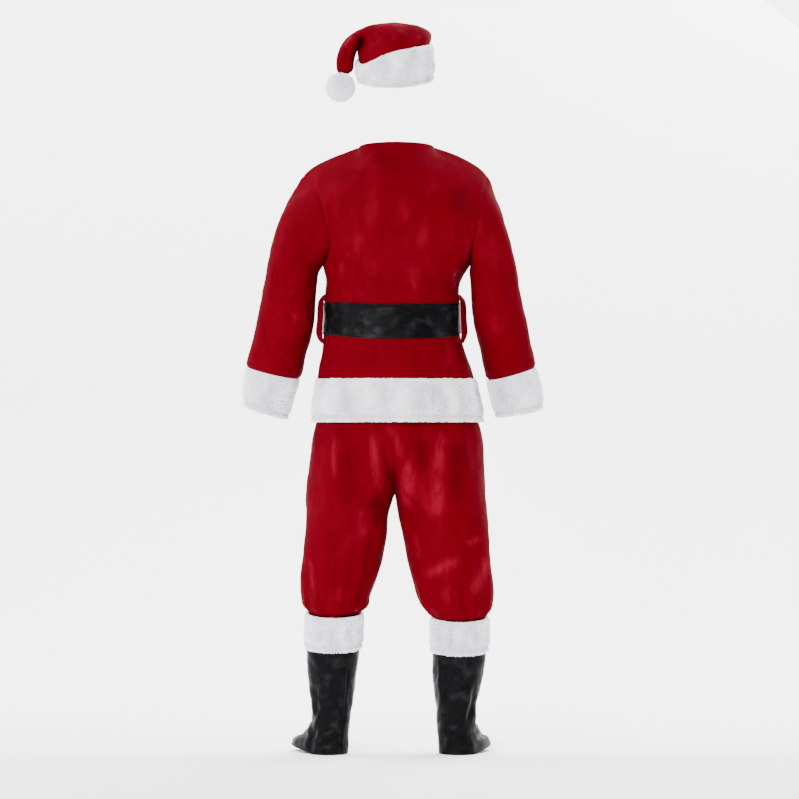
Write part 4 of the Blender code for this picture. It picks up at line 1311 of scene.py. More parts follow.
def build_sleeve(side_name, whole, normal, settings, looks):
    """A sleeve with its creases, and the plush cuff below it."""
    down = run_down(whole)
    rows = SLEEVE_CELLS + 1
    fade = ease(down / 25) * ease((down[rows - 1] - down) / 18)
    creases = -both_sides(whole, SLEEVE_CREASES_BACK, SLEEVE_CREASES_FRONT)
    waves = wander(whole, 90, 7) * 1.3 + wander(whole, 38, 8) * 0.6
    relief = settings.crease_share * (creases + waves) * fade
    relief -= settings.seam_depth / MM * bell(down, 5)
    to_cuff = np.maximum(down[rows - 1] - down, 0)
    blousing = 5.0
    relief += blousing * ease((80 - to_cuff) / 70) * ease(to_cuff / 8)
    dressed = whole + normal * relief[..., None]
    # Painted highlight and painted shade streaks for the velour's nap mark, on the back only.
    nap = 0.5 * along_lines(whole, SLEEVE_PAINTED_LIGHT_BACK, 0) * at_back(whole, 20, 30)
    node = "sleeve_" + side_name
    cloth_piece(
        node + "_cloth", dressed[:rows], normal[:rows], looks["velour"], below=settings.velour_thickness / MM,
        seams="TB", wrap=True, node=node, nap=nap[:rows])
    plush_piece("cuff_" + side_name, dressed[rows - 1:], normal[rows - 1:], settings, looks, "T", True,
                21 if side_name == "left" else 22)


# Belt

def belt_piece(name, drops, angles, out, thick, look, node):
    """A sheet on the jacket: a grid of drops and angles, moved out by a distance and a thickness."""
    outer = on_coat(drops, angles, out + thick)
    inner = on_coat(drops, angles, out)
    points = np.concatenate([outer.reshape(-1, 3), inner.reshape(-1, 3)])
    piece = add_piece(name, points, wall_faces(*outer.shape[:2], False), look, node)
    declare_cut(outer)


def build_belt(looks):
    """Strap with its end lapped over, square buckle with a prong, and two belt loops.

    The strap wanders up and down a little, crumples between its folded edges, and lies calmer where
    its end laps over.
    """
    lap = BELT_THICK + REST_GAP
    turn = np.linspace(STRAP_START, STRAP_START + 360 + STRAP_LAP, 220)
    drop = np.linspace(BELT_TOP_DROP, BELT_BOTTOM_DROP, STRAP_CELLS + 1)
    climb = 2 * CELL_ANGLE
    rise = lap * ease((turn - STRAP_START - 360 + climb) / climb)
    drops, angles = np.meshgrid(drop, np.radians(turn), indexing="ij")
    course = 1.3 * np.sin(2.3 * angles + 0.6) + 0.8 * np.sin(5.1 * angles)
    lower = (drops - BELT_TOP_DROP) / (BELT_BOTTOM_DROP - BELT_TOP_DROP)
    drops = drops + course - BELT_SIDE_RISE * lower * np.cos(angles) ** 4
    place = coat_at(drops, angles)
    crumple = np.maximum(wander(place, 42, 31), 0) * 1.4 + np.maximum(wander(place, 19, 32), 0) * 0.5
    crumple += 0.55 * along_lines(place, BELT_CREASES, 0) * at_back(place)
    from_edge = np.minimum(drops - drops[:1], drops[-1:] - drops)
    edge = ease(from_edge / 10)
    folded_edge = 0.8
    folded = folded_edge * (1 - ease((from_edge - 5) / 2.5))
    calm = 1 - ease(rise / 0.1) * 0.7
    out = REST_GAP + rise[None] + crumple * edge * calm + folded
    strap_wall = BELT_THICK * 0.7
    belt_piece("belt_strap_leather", drops, angles, out, strap_wall, looks["leather"],
               "belt_strap")

    strap_out = REST_GAP + BELT_THICK + lap
    build_buckle(strap_out + REST_GAP, looks)
    build_prong(strap_out + BUCKLE_THICK + 2 * REST_GAP, looks)
    path = smooth(LOOP_PATH, np.linspace(0, 1, 41))
    over = np.linspace(-1, 1, 9)
    for side_name, side, angle in (("left", 1, LOOP_ANGLE_BACK), ("right", -1, 180 - LOOP_ANGLE_BACK)):
        width = np.radians(angle + LOOP_HALF_ANGLE * over)
        drops, angles = np.meshgrid(path[:, 0], width, indexing="ij")
        to_back = (1 + side * over) / 2
        out = REST_GAP + (path[:, 1:2] - REST_GAP) * (1 - LOOP_LEAN * to_back)[None]
        belt_piece("belt_loop_" + side_name + "_cloth", drops, angles, out, LOOP_THICK, looks["velour"],
                   "belt_loop_" + side_name)


def build_buckle(out, looks):
    """A flat bar with round edges carried round a square: the path and the bar's section are both
    squared ellipses, laid on the jacket's body and moved out by the section's height."""
    path = np.linspace(0, 2 * math.pi, 128, endpoint=False)[None, :]
    section = np.linspace(0, 2 * math.pi, 20, endpoint=False)[:, None]
    middle = (BUCKLE_TOP_DROP + BUCKLE_BOTTOM_DROP) / 2
    half_height = (BUCKLE_BOTTOM_DROP - BUCKLE_TOP_DROP - BUCKLE_BAR) / 2
    half_bar = BUCKLE_BAR / 2
    squareness = 0.28
    inset = soften(np.cos(section), 0.5) * half_bar
    across = soften(np.cos(path), squareness) * (BUCKLE_REACH - half_bar + inset)
    down = soften(np.sin(path), squareness) * (half_height + inset)
    height = out + BUCKLE_THICK / 2 * (1 + soften(np.sin(section), 0.6)) + 0 * path
    angle = math.radians(FRONT_ANGLE) + across / BUCKLE_RADIUS
    grid = on_coat(middle + down, angle, height)
    points, faces = ring_faces(grid)
    add_piece("belt_buckle_frame", points, faces, looks["metal"], "belt_buckle")


def ring_faces(grid):
    """Points and faces of a grid that closes on itself both ways."""
    face = point_numbers(*grid.shape[:2])
    face = close_ring(np.vstack([face, face[:1]]))
    return grid.reshape(-1, 3), quads_between(face).reshape(-1, 4)


def build_prong(out, looks):
    """A rod that narrows to its tip: an ellipse carried across the buckle, with ends drawn to points."""
    at = np.linspace(0, 1, 40)[None, :]
    section = np.linspace(0, 2 * math.pi, 16, endpoint=False)[:, None]
    reach = BUCKLE_REACH - BUCKLE_BAR / 2
    thin = (ease(at / 0.03) * ease((1 - at) / 0.06)) ** 0.5
    wide = (PRONG_HALF_HEIGHT - 0.8 * at) * thin
    middle = (BUCKLE_TOP_DROP + BUCKLE_BOTTOM_DROP) / 2
    drop = middle + wide * np.cos(section)
    angle = math.radians(FRONT_ANGLE) + (2 * at - 1) * reach / BUCKLE_RADIUS + 0 * section
    height = out + PRONG_THICK / 2 * (1 + np.sin(section) * thin)
    grid = on_coat(drop, angle, height)
    points, faces = tube_faces(grid)
    add_piece("belt_prong_rod", points, faces, looks["metal"], "belt_prong")


def tube_faces(grid):
    """Points and faces of a grid that closes round its rows, with its two end rings joined to points."""
    rows, columns = grid.shape[:2]
    inner = grid[:, 1:-1]
    ends = np.stack([grid[:, 0].mean(axis=0), grid[:, -1].mean(axis=0)])
    face = point_numbers(rows, columns - 2)
    face = np.vstack([face, face[:1]])
    quads = quads_between(face).reshape(-1, 4)
    triangles = np.concatenate([quads[:, [0, 1, 2]], quads[:, [0, 2, 3]]])
    first = rows * (columns - 2)
    start = np.stack([np.full(rows, first), face[:-1, 0], face[1:, 0]], axis=-1)
    stop = np.stack([np.full(rows, first + 1), face[1:, -1], face[:-1, -1]], axis=-1)
    return np.concatenate([inner.reshape(-1, 3), ends]), np.concatenate([triangles, start, stop])


# Trousers

def seat_rows(side):
    """Half sections above the crotch: a squared ellipse, moved across so that it closes toward the
    crotch, from centre back round the side to centre front."""
    drop = np.linspace(SEAT_SECTIONS[0][0], CROTCH_DROP, SEAT_CELLS + 1)
    left_x, right_x, back, front, closed = smooth(SEAT_SECTIONS, drop).T[:, :, None]
    closed = np.clip(closed, 0, 1)
    reach = np.abs((left_x if side > 0 else right_x) - CROTCH_X)
    half = reach / (1 + closed)
    start = np.arccos(np.minimum(1.0, closed ** (1 / SECTION_POWER)))
    share_round = np.linspace(0, 1, LEG_CELLS + 1)[None]
    turn = start + share_round * (2 * math.pi - 2 * start)
    x = CROTCH_X + side * (closed * half - half * soften(np.cos(turn)))
    y = np.where(np.sin(turn) >= 0, back, front) * soften(np.sin(turn))
    x[:, [0, -1]] = CROTCH_X
    return np.stack([x, y, -drop[:, None] + 0 * x], axis=-1)


def leg_rows(table):
    """Sections below the crotch: an ellipse from the inseam over the back and the side, with the
    gathers as a cosine of uneven height and the long folds as two sines added to its radius."""
    drop = np.linspace(CROTCH_DROP, table[-1][0], LEG_ROWS + 1)[1:]
    inner_x, outer_x, back, front, slope, gather = smooth(table, drop).T[:, :, None]
    drop = drop[:, None]
    turn = np.linspace(0, 2 * math.pi, LEG_CELLS + 1)[None]
    fade = ease((drop - LEG_FOLD_TOP) / LEG_FOLD_FADE) * ease((LEG_FOLD_BOTTOM - drop) / LEG_FOLD_FADE)
    fold = LEG_FOLD_HEIGHT * fade * (np.sin(3 * turn + 0.8) + 0.6 * np.sin(5 * turn - 0.5))
    uneven = 1 + 0.45 * np.sin(3 * turn + 1.0) + 0.3 * np.sin(5 * turn)
    ruffle = gather * np.cos(LEG_GATHERS * turn + 0.5 * np.sin(2 * turn)) * uneven + fold
    half = np.abs(outer_x - inner_x) / 2
    side = np.sign(outer_x - inner_x)
    round_by = 46
    power = SECTION_POWER + (1 - SECTION_POWER) * ease((drop - CROTCH_DROP) / round_by)
    x = (inner_x + outer_x) / 2 - side * (half + ruffle) * soften(np.cos(turn), power)
    y = (np.where(np.sin(turn) >= 0, back, front) + ruffle) * soften(np.sin(turn), power)
    z = -drop - slope * np.sin(turn)
    return np.stack([x, y, z], axis=-1)


def build_trousers(settings, looks):
    """Four panels that meet at centre back, centre front, the side seams and the inseams."""
    halves = {}
    for side_name, side, table in (("left", 1, LEG_LEFT), ("right", -1, LEG_RIGHT)):
        grid = np.concatenate([seat_rows(side), leg_rows(table)])
        halves[side_name] = (grid, grid_normals(grid))
    left = halves["left"][1]
    right = halves["right"][1]
    for column in (0, -1):
        share(left[:SEAT_CELLS, column], right[:SEAT_CELLS, column])
    for normal in (left, right):
        share(normal[SEAT_CELLS + 1:, 0], normal[SEAT_CELLS + 1:, -1])
        normal[SEAT_CELLS, [0, -1]] = (0, 0, -1)
    middle = LEG_CELLS // 2
    for side_name, (grid, normal) in halves.items():
        across = run_across(grid)
        from_seam = to_ends(across)
        side_seam = np.abs(across - across[:, middle:middle + 1])
        drop = -grid[..., 2]
        below_jacket = ease((drop - LEG_CREASES_START) / 30)
        above_boots = ease((drop[-1].max() - LEG_TUCKED_END - drop) / 16)
        shown = below_jacket * above_boots
        creases = -both_sides(grid, LEG_CREASES_BACK, LEG_CREASES_FRONT)
        waves = wander(grid, 130, 41) * 1.6 + wander(grid, 48, 42) * 0.7
        relief = settings.crease_share * (creases + waves) * shown * ease(from_seam / 20)
        depth = settings.seam_depth / MM * below_jacket
        relief -= depth * bell(from_seam, 5) + 0.6 * depth * bell(side_seam, 4)
        dressed = grid + normal * relief[..., None]
        # Painted highlight and painted shade streaks for the velour's nap mark, on the back only.
        nap = 0.88 * along_lines(grid, LEG_PAINTED_LIGHT_BACK, 0) * at_back(grid)
        for part_name, columns in (("back", slice(0, middle + 1)), ("front", slice(middle, None))):
            node = "trouser_" + part_name + "_" + side_name
            cloth_piece(
                node + "_cloth", dressed[:, columns], normal[:, columns], looks["velour"],
                below=settings.velour_thickness / MM, seams="LR", node=node,
                nap=nap[:, columns], slant=SEAM_SLANT)


# Boot covers

def boot_rows(table, turn_out, drop):
    """Sections of a boot cover: half an ellipse toward the heel and a longer one toward the toe, turned
    out by an angle, from the heel seam round the outer side to the toe and back."""
    centre, across, toe, heel, slope, rise = smooth(table, drop).T[:, :, None]
    turn = np.linspace(0, 2 * math.pi, BOOT_CELLS, endpoint=False)[None]
    along = -np.cos(turn)
    forward = np.where(along > 0, toe, heel) * along
    sideways = across * np.sin(turn)
    angle = math.radians(turn_out)
    x = centre + forward * math.sin(angle) + sideways * math.cos(angle)
    y = -forward * math.cos(angle) + sideways * math.sin(angle)
    z = -np.asarray(drop)[:, None] - slope * y / heel + rise * np.maximum(along, 0)
    return np.stack([x, y, z], axis=-1)


def build_boot_covers(settings, looks):
    """For each leg an outer side, an inner side, and a plush top laid over both."""
    half = BOOT_CELLS // 2
    sides = (
        ("left", BOOT_LEFT, BOOT_TURN_LEFT, ("outer", "inner"), 51),
        ("right", BOOT_RIGHT, BOOT_TURN_RIGHT, ("inner", "outer"), 52),
    )
    for side_name, table, turn_out, names, seed in sides:
        drop = np.linspace(table[0][0], table[-1][0], BOOT_ROWS + 1)
        grid = boot_rows(table, turn_out, drop)
        normal = grid_normals(grid, wrap=True)
        below_top = ease((drop - table[0][0] - BOOT_PLUSH_DEPTH - 4) / 24)[:, None]
        above_hem = ease((table[-1][0] - drop) / 12)[:, None]
        creases = -both_sides(grid, BOOT_CREASES_BACK, BOOT_CREASES_FRONT)
        waves = wander(grid, 44, seed) * 1.3 + wander(grid, 20, seed + 1) * 0.5
        relief = close_ring(settings.crease_share * (creases + waves) * below_top * above_hem)
        closed = close_ring(grid)
        closed_normal = close_ring(normal)
        across = run_across(closed)
        heel = to_ends(across)
        toe = np.abs(across - across[:, half:half + 1])
        width = 3.0
        ridge = 6
        relief -= 0.9 * (bell(heel, width) + bell(toe, width)) * below_top
        relief += 0.7 * (bell(heel - ridge, width) + bell(toe - ridge, width)) * below_top
        dressed = closed + closed_normal * relief[..., None]
        for part_name, columns in zip(names, (slice(0, half + 1), slice(half, None))):
            node = "boot_cover_" + part_name + "_" + side_name
            cloth_piece(
                node + "_leather", dressed[:, columns], closed_normal[:, columns], looks["leather"],
                below=settings.leather_thickness / MM, seams="LR", node=node,
                slant=SEAM_SLANT if side_name == "left" else -SEAM_SLANT)
        plush_rows = int(round(BOOT_PLUSH_DEPTH / (drop[1] - drop[0]))) + 1
        plush_piece(
            "boot_top_" + side_name, grid[:plush_rows], normal[:plush_rows], settings, looks, "", True,
            seed + 4, above=5.2, below=-REST_GAP, stitch=11)


# Hat

def hat_rings(table):
    """Sections of the hat: ellipses sloped to the back."""
    rings = []
    for row in table:
        ring = limb_ring(row[:6], HAT_CELLS)
        ring[:, 2] += row[6] * (ring[:, 1] - row[4]) / row[5]
        rings.append(ring)
    return rings


def hat_seam(upper, lower):
    """The edge of the cone over the band: the first section moved toward the next one by a base
    distance plus a bell that is highest at the left of the back."""
    turn = np.linspace(0, 2 * math.pi, HAT_CELLS, endpoint=False)[:, None]
    fall = HAT_SAG + HAT_SAG_LEFT * bell(turn - HAT_SAG_TURN, HAT_SAG_SPREAD)
    return upper + unit(lower - upper) * fall


def build_hat(settings, looks):
    """Two gores of the cone, the plush band and the pompom."""
    cone_rings = hat_rings(HAT_CONE)
    band_rings = hat_rings(HAT_BAND)
    cone_rings[-1] = band_rings[0] = hat_seam(band_rings[0], band_rings[1])
    cone = loft(cone_rings, CONE_CELLS)
    band = loft(band_rings, BAND_CELLS)
    whole = np.concatenate([cone, band[1:]])
    normal = grid_normals(whole, wrap=True)
    edge = len(cone) - 1
    closed = close_ring(whole)
    closed_normal = close_ring(normal)
    down = run_down(closed)
    fade = ease(down / 20) * ease((down[edge] - down) / 16)
    creases = -both_sides(closed, HAT_CREASES_BACK, HAT_CREASES_FRONT)
    waves = wander(closed, 70, 61) * 1.2 + wander(closed, 30, 62) * 0.5
    across = run_across(closed)
    half = HAT_CELLS // 2
    seam = np.minimum(to_ends(across), np.abs(across - across[:, half:half + 1]))
    relief = settings.crease_share * (creases + waves) * fade * ease(seam / 8)
    relief -= 0.5 * settings.seam_depth / MM * bell(seam, 3.5) * fade
    relief -= settings.seam_depth / MM * bell(down[edge] - down, 4.0)
    dressed = closed + closed_normal * relief[..., None]
    # Painted highlight and painted shade streaks for the velour's nap mark, on the back only.
    nap = along_lines(closed, HAT_PAINTED_LIGHT_BACK, 0) * at_back(closed)
    rows = slice(0, edge + 1)
    for part_name, columns in (("back", slice(0, half + 1)), ("front", slice(half, None))):
        node = "hat_cone_" + part_name
        cloth_piece(
            node + "_cloth", dressed[rows, columns], closed_normal[rows, columns], looks["velour"],
            below=HAT_CLOTH_THICK, seams="LRB", node=node, nap=nap[rows, columns],
            slant=SEAM_SLANT)
    plush_piece("hat_band", whole[edge:], normal[edge:], settings, looks, "T", True, 63, above=4.0, stitch=8)
    build_pompom(looks)


def ball_points(polar, spin):
    """Points of a ball of radius 1 at angles from its top and round it."""
    return np.stack([np.sin(polar) * np.cos(spin), np.sin(polar) * np.sin(spin), np.cos(polar)], axis=-1)


def build_pompom(looks):
    """A stuffed ball with a soft uneven surface, covered with longer tufts that stand out from it.

    The tufts' roots lie on a spiral of equal areas, each a golden angle on from the last one.
    """
    centre = np.array(POMPOM_CENTRE)
    turn = np.linspace(0, 2 * math.pi, 72, endpoint=False)[:, None]
    rise = np.linspace(0, math.pi, 41)[None, :]
    way = ball_points(rise + 0 * turn, turn + 0 * rise)
    radius = POMPOM_RADIUS - POMPOM_PILE + wander(way * POMPOM_RADIUS, 30, 71)
    points, faces = tube_faces(centre + way * radius[..., None])
    ball = add_piece("hat_pompom_ball", points, faces, looks["plush"], "hat_pompom")
    k = np.arange(POMPOM_TUFTS) + 0.5
    out = ball_points(np.arccos(1 - 2 * k / POMPOM_TUFTS), math.pi * (1 + math.sqrt(5)) * k)
    dice = np.random.default_rng(72)
    out = unit(out + dice.normal(0, 0.03, out.shape))
    comb = unit(dice.normal(size=out.shape) + np.array([0, 0, -0.6]))
    comb = unit(comb - out * np.sum(comb * out, axis=-1, keepdims=True))
    roots = centre + out * (POMPOM_RADIUS - POMPOM_PILE - 1.5)
    tufts("hat_pompom_pile", roots, out, comb, POMPOM_TUFT_LENGTH, POMPOM_TUFT_RADIUS, 73,
          looks["plush"], spread=0.5)


# Materials

def new_look(name, roughness, metallic=0.0):
    """A material with a Principled shader."""
    look = bpy.data.materials.new(name)
    look.use_nodes = True
    shader = look.node_tree.nodes["Principled BSDF"]
    shader.inputs["Roughness"].default_value = roughness
    shader.inputs["Metallic"].default_value = metallic
    return look, shader


def add_node(tree, kind, inputs=None, **settings):
    """Add a node with its settings. An input is a plain value or another node's output."""
    node = tree.nodes.new(kind)
    for key, value in settings.items():
        setattr(node, key, value)
    for key, value in (inputs or {}).items():
        if isinstance(value, bpy.types.NodeSocket):
            tree.links.new(value, node.inputs[key])
        else:
            node.inputs[key].default_value = value
    return node


def times_plus(tree, value, factor, offset=0.0):
    """A value times a factor, plus an offset. Each is a number or another node's output."""
    inputs = {0: value, 1: factor, 2: offset}
    return add_node(tree, "ShaderNodeMath", inputs, operation="MULTIPLY_ADD").outputs[0]


def noise(tree, place, scale, detail, roughness, distortion=0.0):
    """Uneven values between 0 and 1 at places, finer for a larger scale."""
    return add_node(tree, "ShaderNodeTexNoise", {
        "Vector": place, "Scale": scale, "Detail": detail, "Roughness": roughness,
        "Distortion": distortion}).outputs[0]


def own_place(tree):
    """Places in the piece's own coordinates."""
    return add_node(tree, "ShaderNodeTexCoord").outputs["Object"]


def mark_on(tree, name):
    """Value of an attribute that the mesh carries."""
    return add_node(tree, "ShaderNodeAttribute", attribute_name=name).outputs["Fac"]


def drawn_out(tree, place, scale, turn=(0.0, 0.0, 0.0)):
    """Places turned and scaled by their own factor along each axis."""
    return add_node(tree, "ShaderNodeMapping", {
        "Vector": place, "Rotation": turn, "Scale": scale}).outputs[0]


def grain_group():
    """Fine uneven grain of a surface at a scale, as a height and a shade between 0 and 1."""
    group = bpy.data.node_groups.new("Surface grain", "ShaderNodeTree")
    group.interface.new_socket(name="Scale", in_out="INPUT", socket_type="NodeSocketFloat")
    group.interface.new_socket(name="Height", in_out="OUTPUT", socket_type="NodeSocketFloat")
    group.interface.new_socket(name="Shade", in_out="OUTPUT", socket_type="NodeSocketFloat")
    start = group.nodes.new("NodeGroupInput")
    stop = group.nodes.new("NodeGroupOutput")
    place = own_place(group)
    scale = start.outputs["Scale"]
    fine = noise(group, place, scale, 3.0, 0.6)
    broad = noise(group, place, times_plus(group, scale, 0.12), 2.0, 0.5)
    group.links.new(fine, stop.inputs["Height"])
    group.links.new(broad, stop.inputs["Shade"])
    return group


def use_group(tree, group, scale):
    """Add a node group at a scale."""
    node = tree.nodes.new("ShaderNodeGroup")
    node.node_tree = group
    node.inputs["Scale"].default_value = scale
    return node


def mix_colours(tree, factor, first, second):
    """Blend two colours by a factor. Each is a plain colour or another node's output."""
    node = tree.nodes.new("ShaderNodeMix")
    node.data_type = "RGBA"
    sockets = {"factor": node.inputs[0], "first": node.inputs[6], "second": node.inputs[7]}
    for key, value in (("factor", factor), ("first", first), ("second", second)):
        if isinstance(value, bpy.types.NodeSocket):
            tree.links.new(value, sockets[key])
        else:
            sockets[key].default_value = value
    return node.outputs[2]


def ramp(tree, value, low, high):
    """Spread the values between low and high over 0 to 1, and clip the rest."""
    node = add_node(tree, "ShaderNodeMapRange", {"Value": value, "From Min": low, "From Max": high})
    node.clamp = True
    return node.outputs["Result"]


def add_bump(tree, shader, height, strength, distance):
    """Raise the shaded surface by a height."""
    bump = add_node(tree, "ShaderNodeBump", {"Strength": strength, "Distance": distance, "Height": height})
    tree.links.new(bump.outputs["Normal"], shader.inputs["Normal"])


def velour_look(settings, grain):
    """Velour: brushed patches of the nap, painted highlight and painted shade streaks, a fine pile and a soft
    sheen.

    The field is a quarter of the sum of long streaks and patches, plus the painted highlight and painted
    shade that the mesh's nap mark draws, broken up by the same long streaks and a slanted hatch.
    """
    look, shader = new_look("velour", 0.80)
    tree = look.node_tree
    place = own_place(tree)
    streaks = noise(tree, drawn_out(tree, place, (26.0, 26.0, 7.0)), 1.0, 4.0, 0.62, 0.5)
    hatch = noise(tree, drawn_out(tree, place, (150.0, 150.0, 34.0), (0.0, 0.5, 0.0)), 1.0, 5.0, 0.7, 0.8)
    patches = noise(tree, place, 7.5, 3.0, 0.55, 0.6)
    broken = times_plus(tree, times_plus(tree, streaks, 1.0, hatch), 0.55, -0.29)
    calm = times_plus(tree, times_plus(tree, streaks, 1.0, patches), 0.25, 0.25)
    # The nap mark adds painted highlight and painted shade, and the noise adds random brushed tone: darker
    # and lighter mix them in.
    field = times_plus(tree, mark_on(tree, "nap"), broken, calm)
    darker = ramp(tree, field, 0.49, 0.28)
    lighter = ramp(tree, field, 0.52, 0.88)
    colour = mix_colours(tree, darker, settings.velour_colour, settings.velour_nap_grain_and_painted_shade)
    colour = mix_colours(tree, lighter, colour, settings.velour_nap_and_painted_highlight)
    pile = use_group(tree, grain, 520.0)
    speck = times_plus(tree, ramp(tree, pile.outputs["Height"], 0.35, 0.7), 0.22)
    colour = mix_colours(tree, speck, colour, settings.velour_nap_grain_and_painted_shade)
    tree.links.new(colour, shader.inputs["Base Color"])
    rough = times_plus(tree, ramp(tree, field, 0.3, 0.8), -0.18, 0.86)
    tree.links.new(rough, shader.inputs["Roughness"])
    shader.inputs["Specular IOR Level"].default_value = 0.015
    shader.inputs["Sheen Weight"].default_value = 0.008
    shader.inputs["Sheen Roughness"].default_value = 0.42
    shader.inputs["Sheen Tint"].default_value = (1.0, 0.12, 0.20, 1)
    add_bump(tree, shader, pile.outputs["Height"], 0.35, 0.0008)
    return look


def plush_look(settings, grain):
    """Plush: bright tips over painted shade at the roots, painted light and shade on the folds, and a faint
    uneven tone.
    """
    look, shader = new_look("plush", 0.95)
    tree = look.node_tree
    fibre = use_group(tree, grain, 260.0)
    lift = times_plus(tree, ramp(tree, fibre.outputs["Shade"], 0.35, 0.65), 0.25, 0.12)
    # Painted light and shade from the fold mark: brighter on ridges, darker in valleys.
    painted_fold_light = times_plus(tree, mark_on(tree, "fold"), 0.45, lift)
    bright = ramp(tree, times_plus(tree, mark_on(tree, "tip"), 0.75, painted_fold_light), 0.0, 1.0)
    colour = mix_colours(tree, bright, settings.plush_painted_shade, settings.plush_colour)
    tree.links.new(colour, shader.inputs["Base Color"])
    shader.inputs["Specular IOR Level"].default_value = 0.12
    shader.inputs["Sheen Weight"].default_value = 0.35
    shader.inputs["Sheen Roughness"].default_value = 0.5
    add_bump(tree, shader, fibre.outputs["Height"], 0.5, 0.001)
    return look


def leather_look(settings, grain):
    """Faux leather: fine pebbled grain, soft crumples, and painted highlights in soft patches on the
    crumples.
    """
    look, shader = new_look("faux_leather", 0.36)
    tree = look.node_tree
    place = own_place(tree)
    pebble = add_node(tree, "ShaderNodeTexVoronoi", {"Vector": place, "Scale": 620.0})
    crumple = noise(tree, place, 34.0, 3.0, 0.45, 0.2)
    fine = use_group(tree, grain, 300.0)
    rough = times_plus(tree, fine.outputs["Shade"], 0.20, 0.30)
    tree.links.new(rough, shader.inputs["Roughness"])
    # Painted highlight: a lighter grey mixed in on the crumple noise.
    leather_painted_highlight = times_plus(tree, ramp(tree, crumple, 0.52, 0.74), 0.35)
    leather_painted_highlight_colour = (0.020, 0.020, 0.024, 1)
    colour = mix_colours(tree, leather_painted_highlight, settings.leather_colour, leather_painted_highlight_colour)
    tree.links.new(colour, shader.inputs["Base Color"])
    shader.inputs["IOR"].default_value = 1.12
    add_bump(tree, shader, times_plus(tree, pebble.outputs["Distance"], 0.25, crumple), 0.30, 0.0012)
    return look


def metal_look(settings, grain):
    """Satin steel with fine brushing along its bars."""
    look, shader = new_look("buckle_metal", 0.30, 1.0)
    tree = look.node_tree
    brushing = noise(tree, drawn_out(tree, own_place(tree), (60.0, 400.0, 1800.0)), 1.0, 2.0, 0.5)
    fine = use_group(tree, grain, 200.0)
    rough = times_plus(tree, fine.outputs["Shade"], 0.2, 0.22)
    tree.links.new(rough, shader.inputs["Roughness"])
    dull = times_plus(tree, ramp(tree, brushing, 0.35, 0.65), 0.3)
    dull_colour = (0.36, 0.36, 0.37, 1)
    colour = mix_colours(tree, dull, settings.metal_colour, dull_colour)
    tree.links.new(colour, shader.inputs["Base Color"])
    add_bump(tree, shader, brushing, 0.15, 0.0003)
    return look


def all_looks(settings):
    """The four finishes of the suit, made once and then found by name."""
    makers = {"velour": velour_look, "plush": plush_look, "leather": leather_look, "metal": metal_look}
    if "Surface grain" not in bpy.data.node_groups:
        grain = grain_group()
        made = {key: makers[key](settings, grain) for key in makers}
        bpy.context.scene["santa_suit_looks"] = {key: made[key].name for key in made}
        return made
    found = bpy.context.scene["santa_suit_looks"]
    return {key: bpy.data.materials[found[key]] for key in makers}


# Stage

def see_through_back(look, shader):
    """Let a one-sided sheet be seen from its face only, so that the backdrop hides no view."""
    tree = look.node_tree
    behind = add_node(tree, "ShaderNodeNewGeometry").outputs["Backfacing"]
    clear = add_node(tree, "ShaderNodeBsdfTransparent")
    mixed = add_node(tree, "ShaderNodeMixShader", {0: behind, 1: shader.outputs[0], 2: clear.outputs[0]})
    tree.links.new(mixed.outputs[0], tree.nodes["Material Output"].inputs["Surface"])


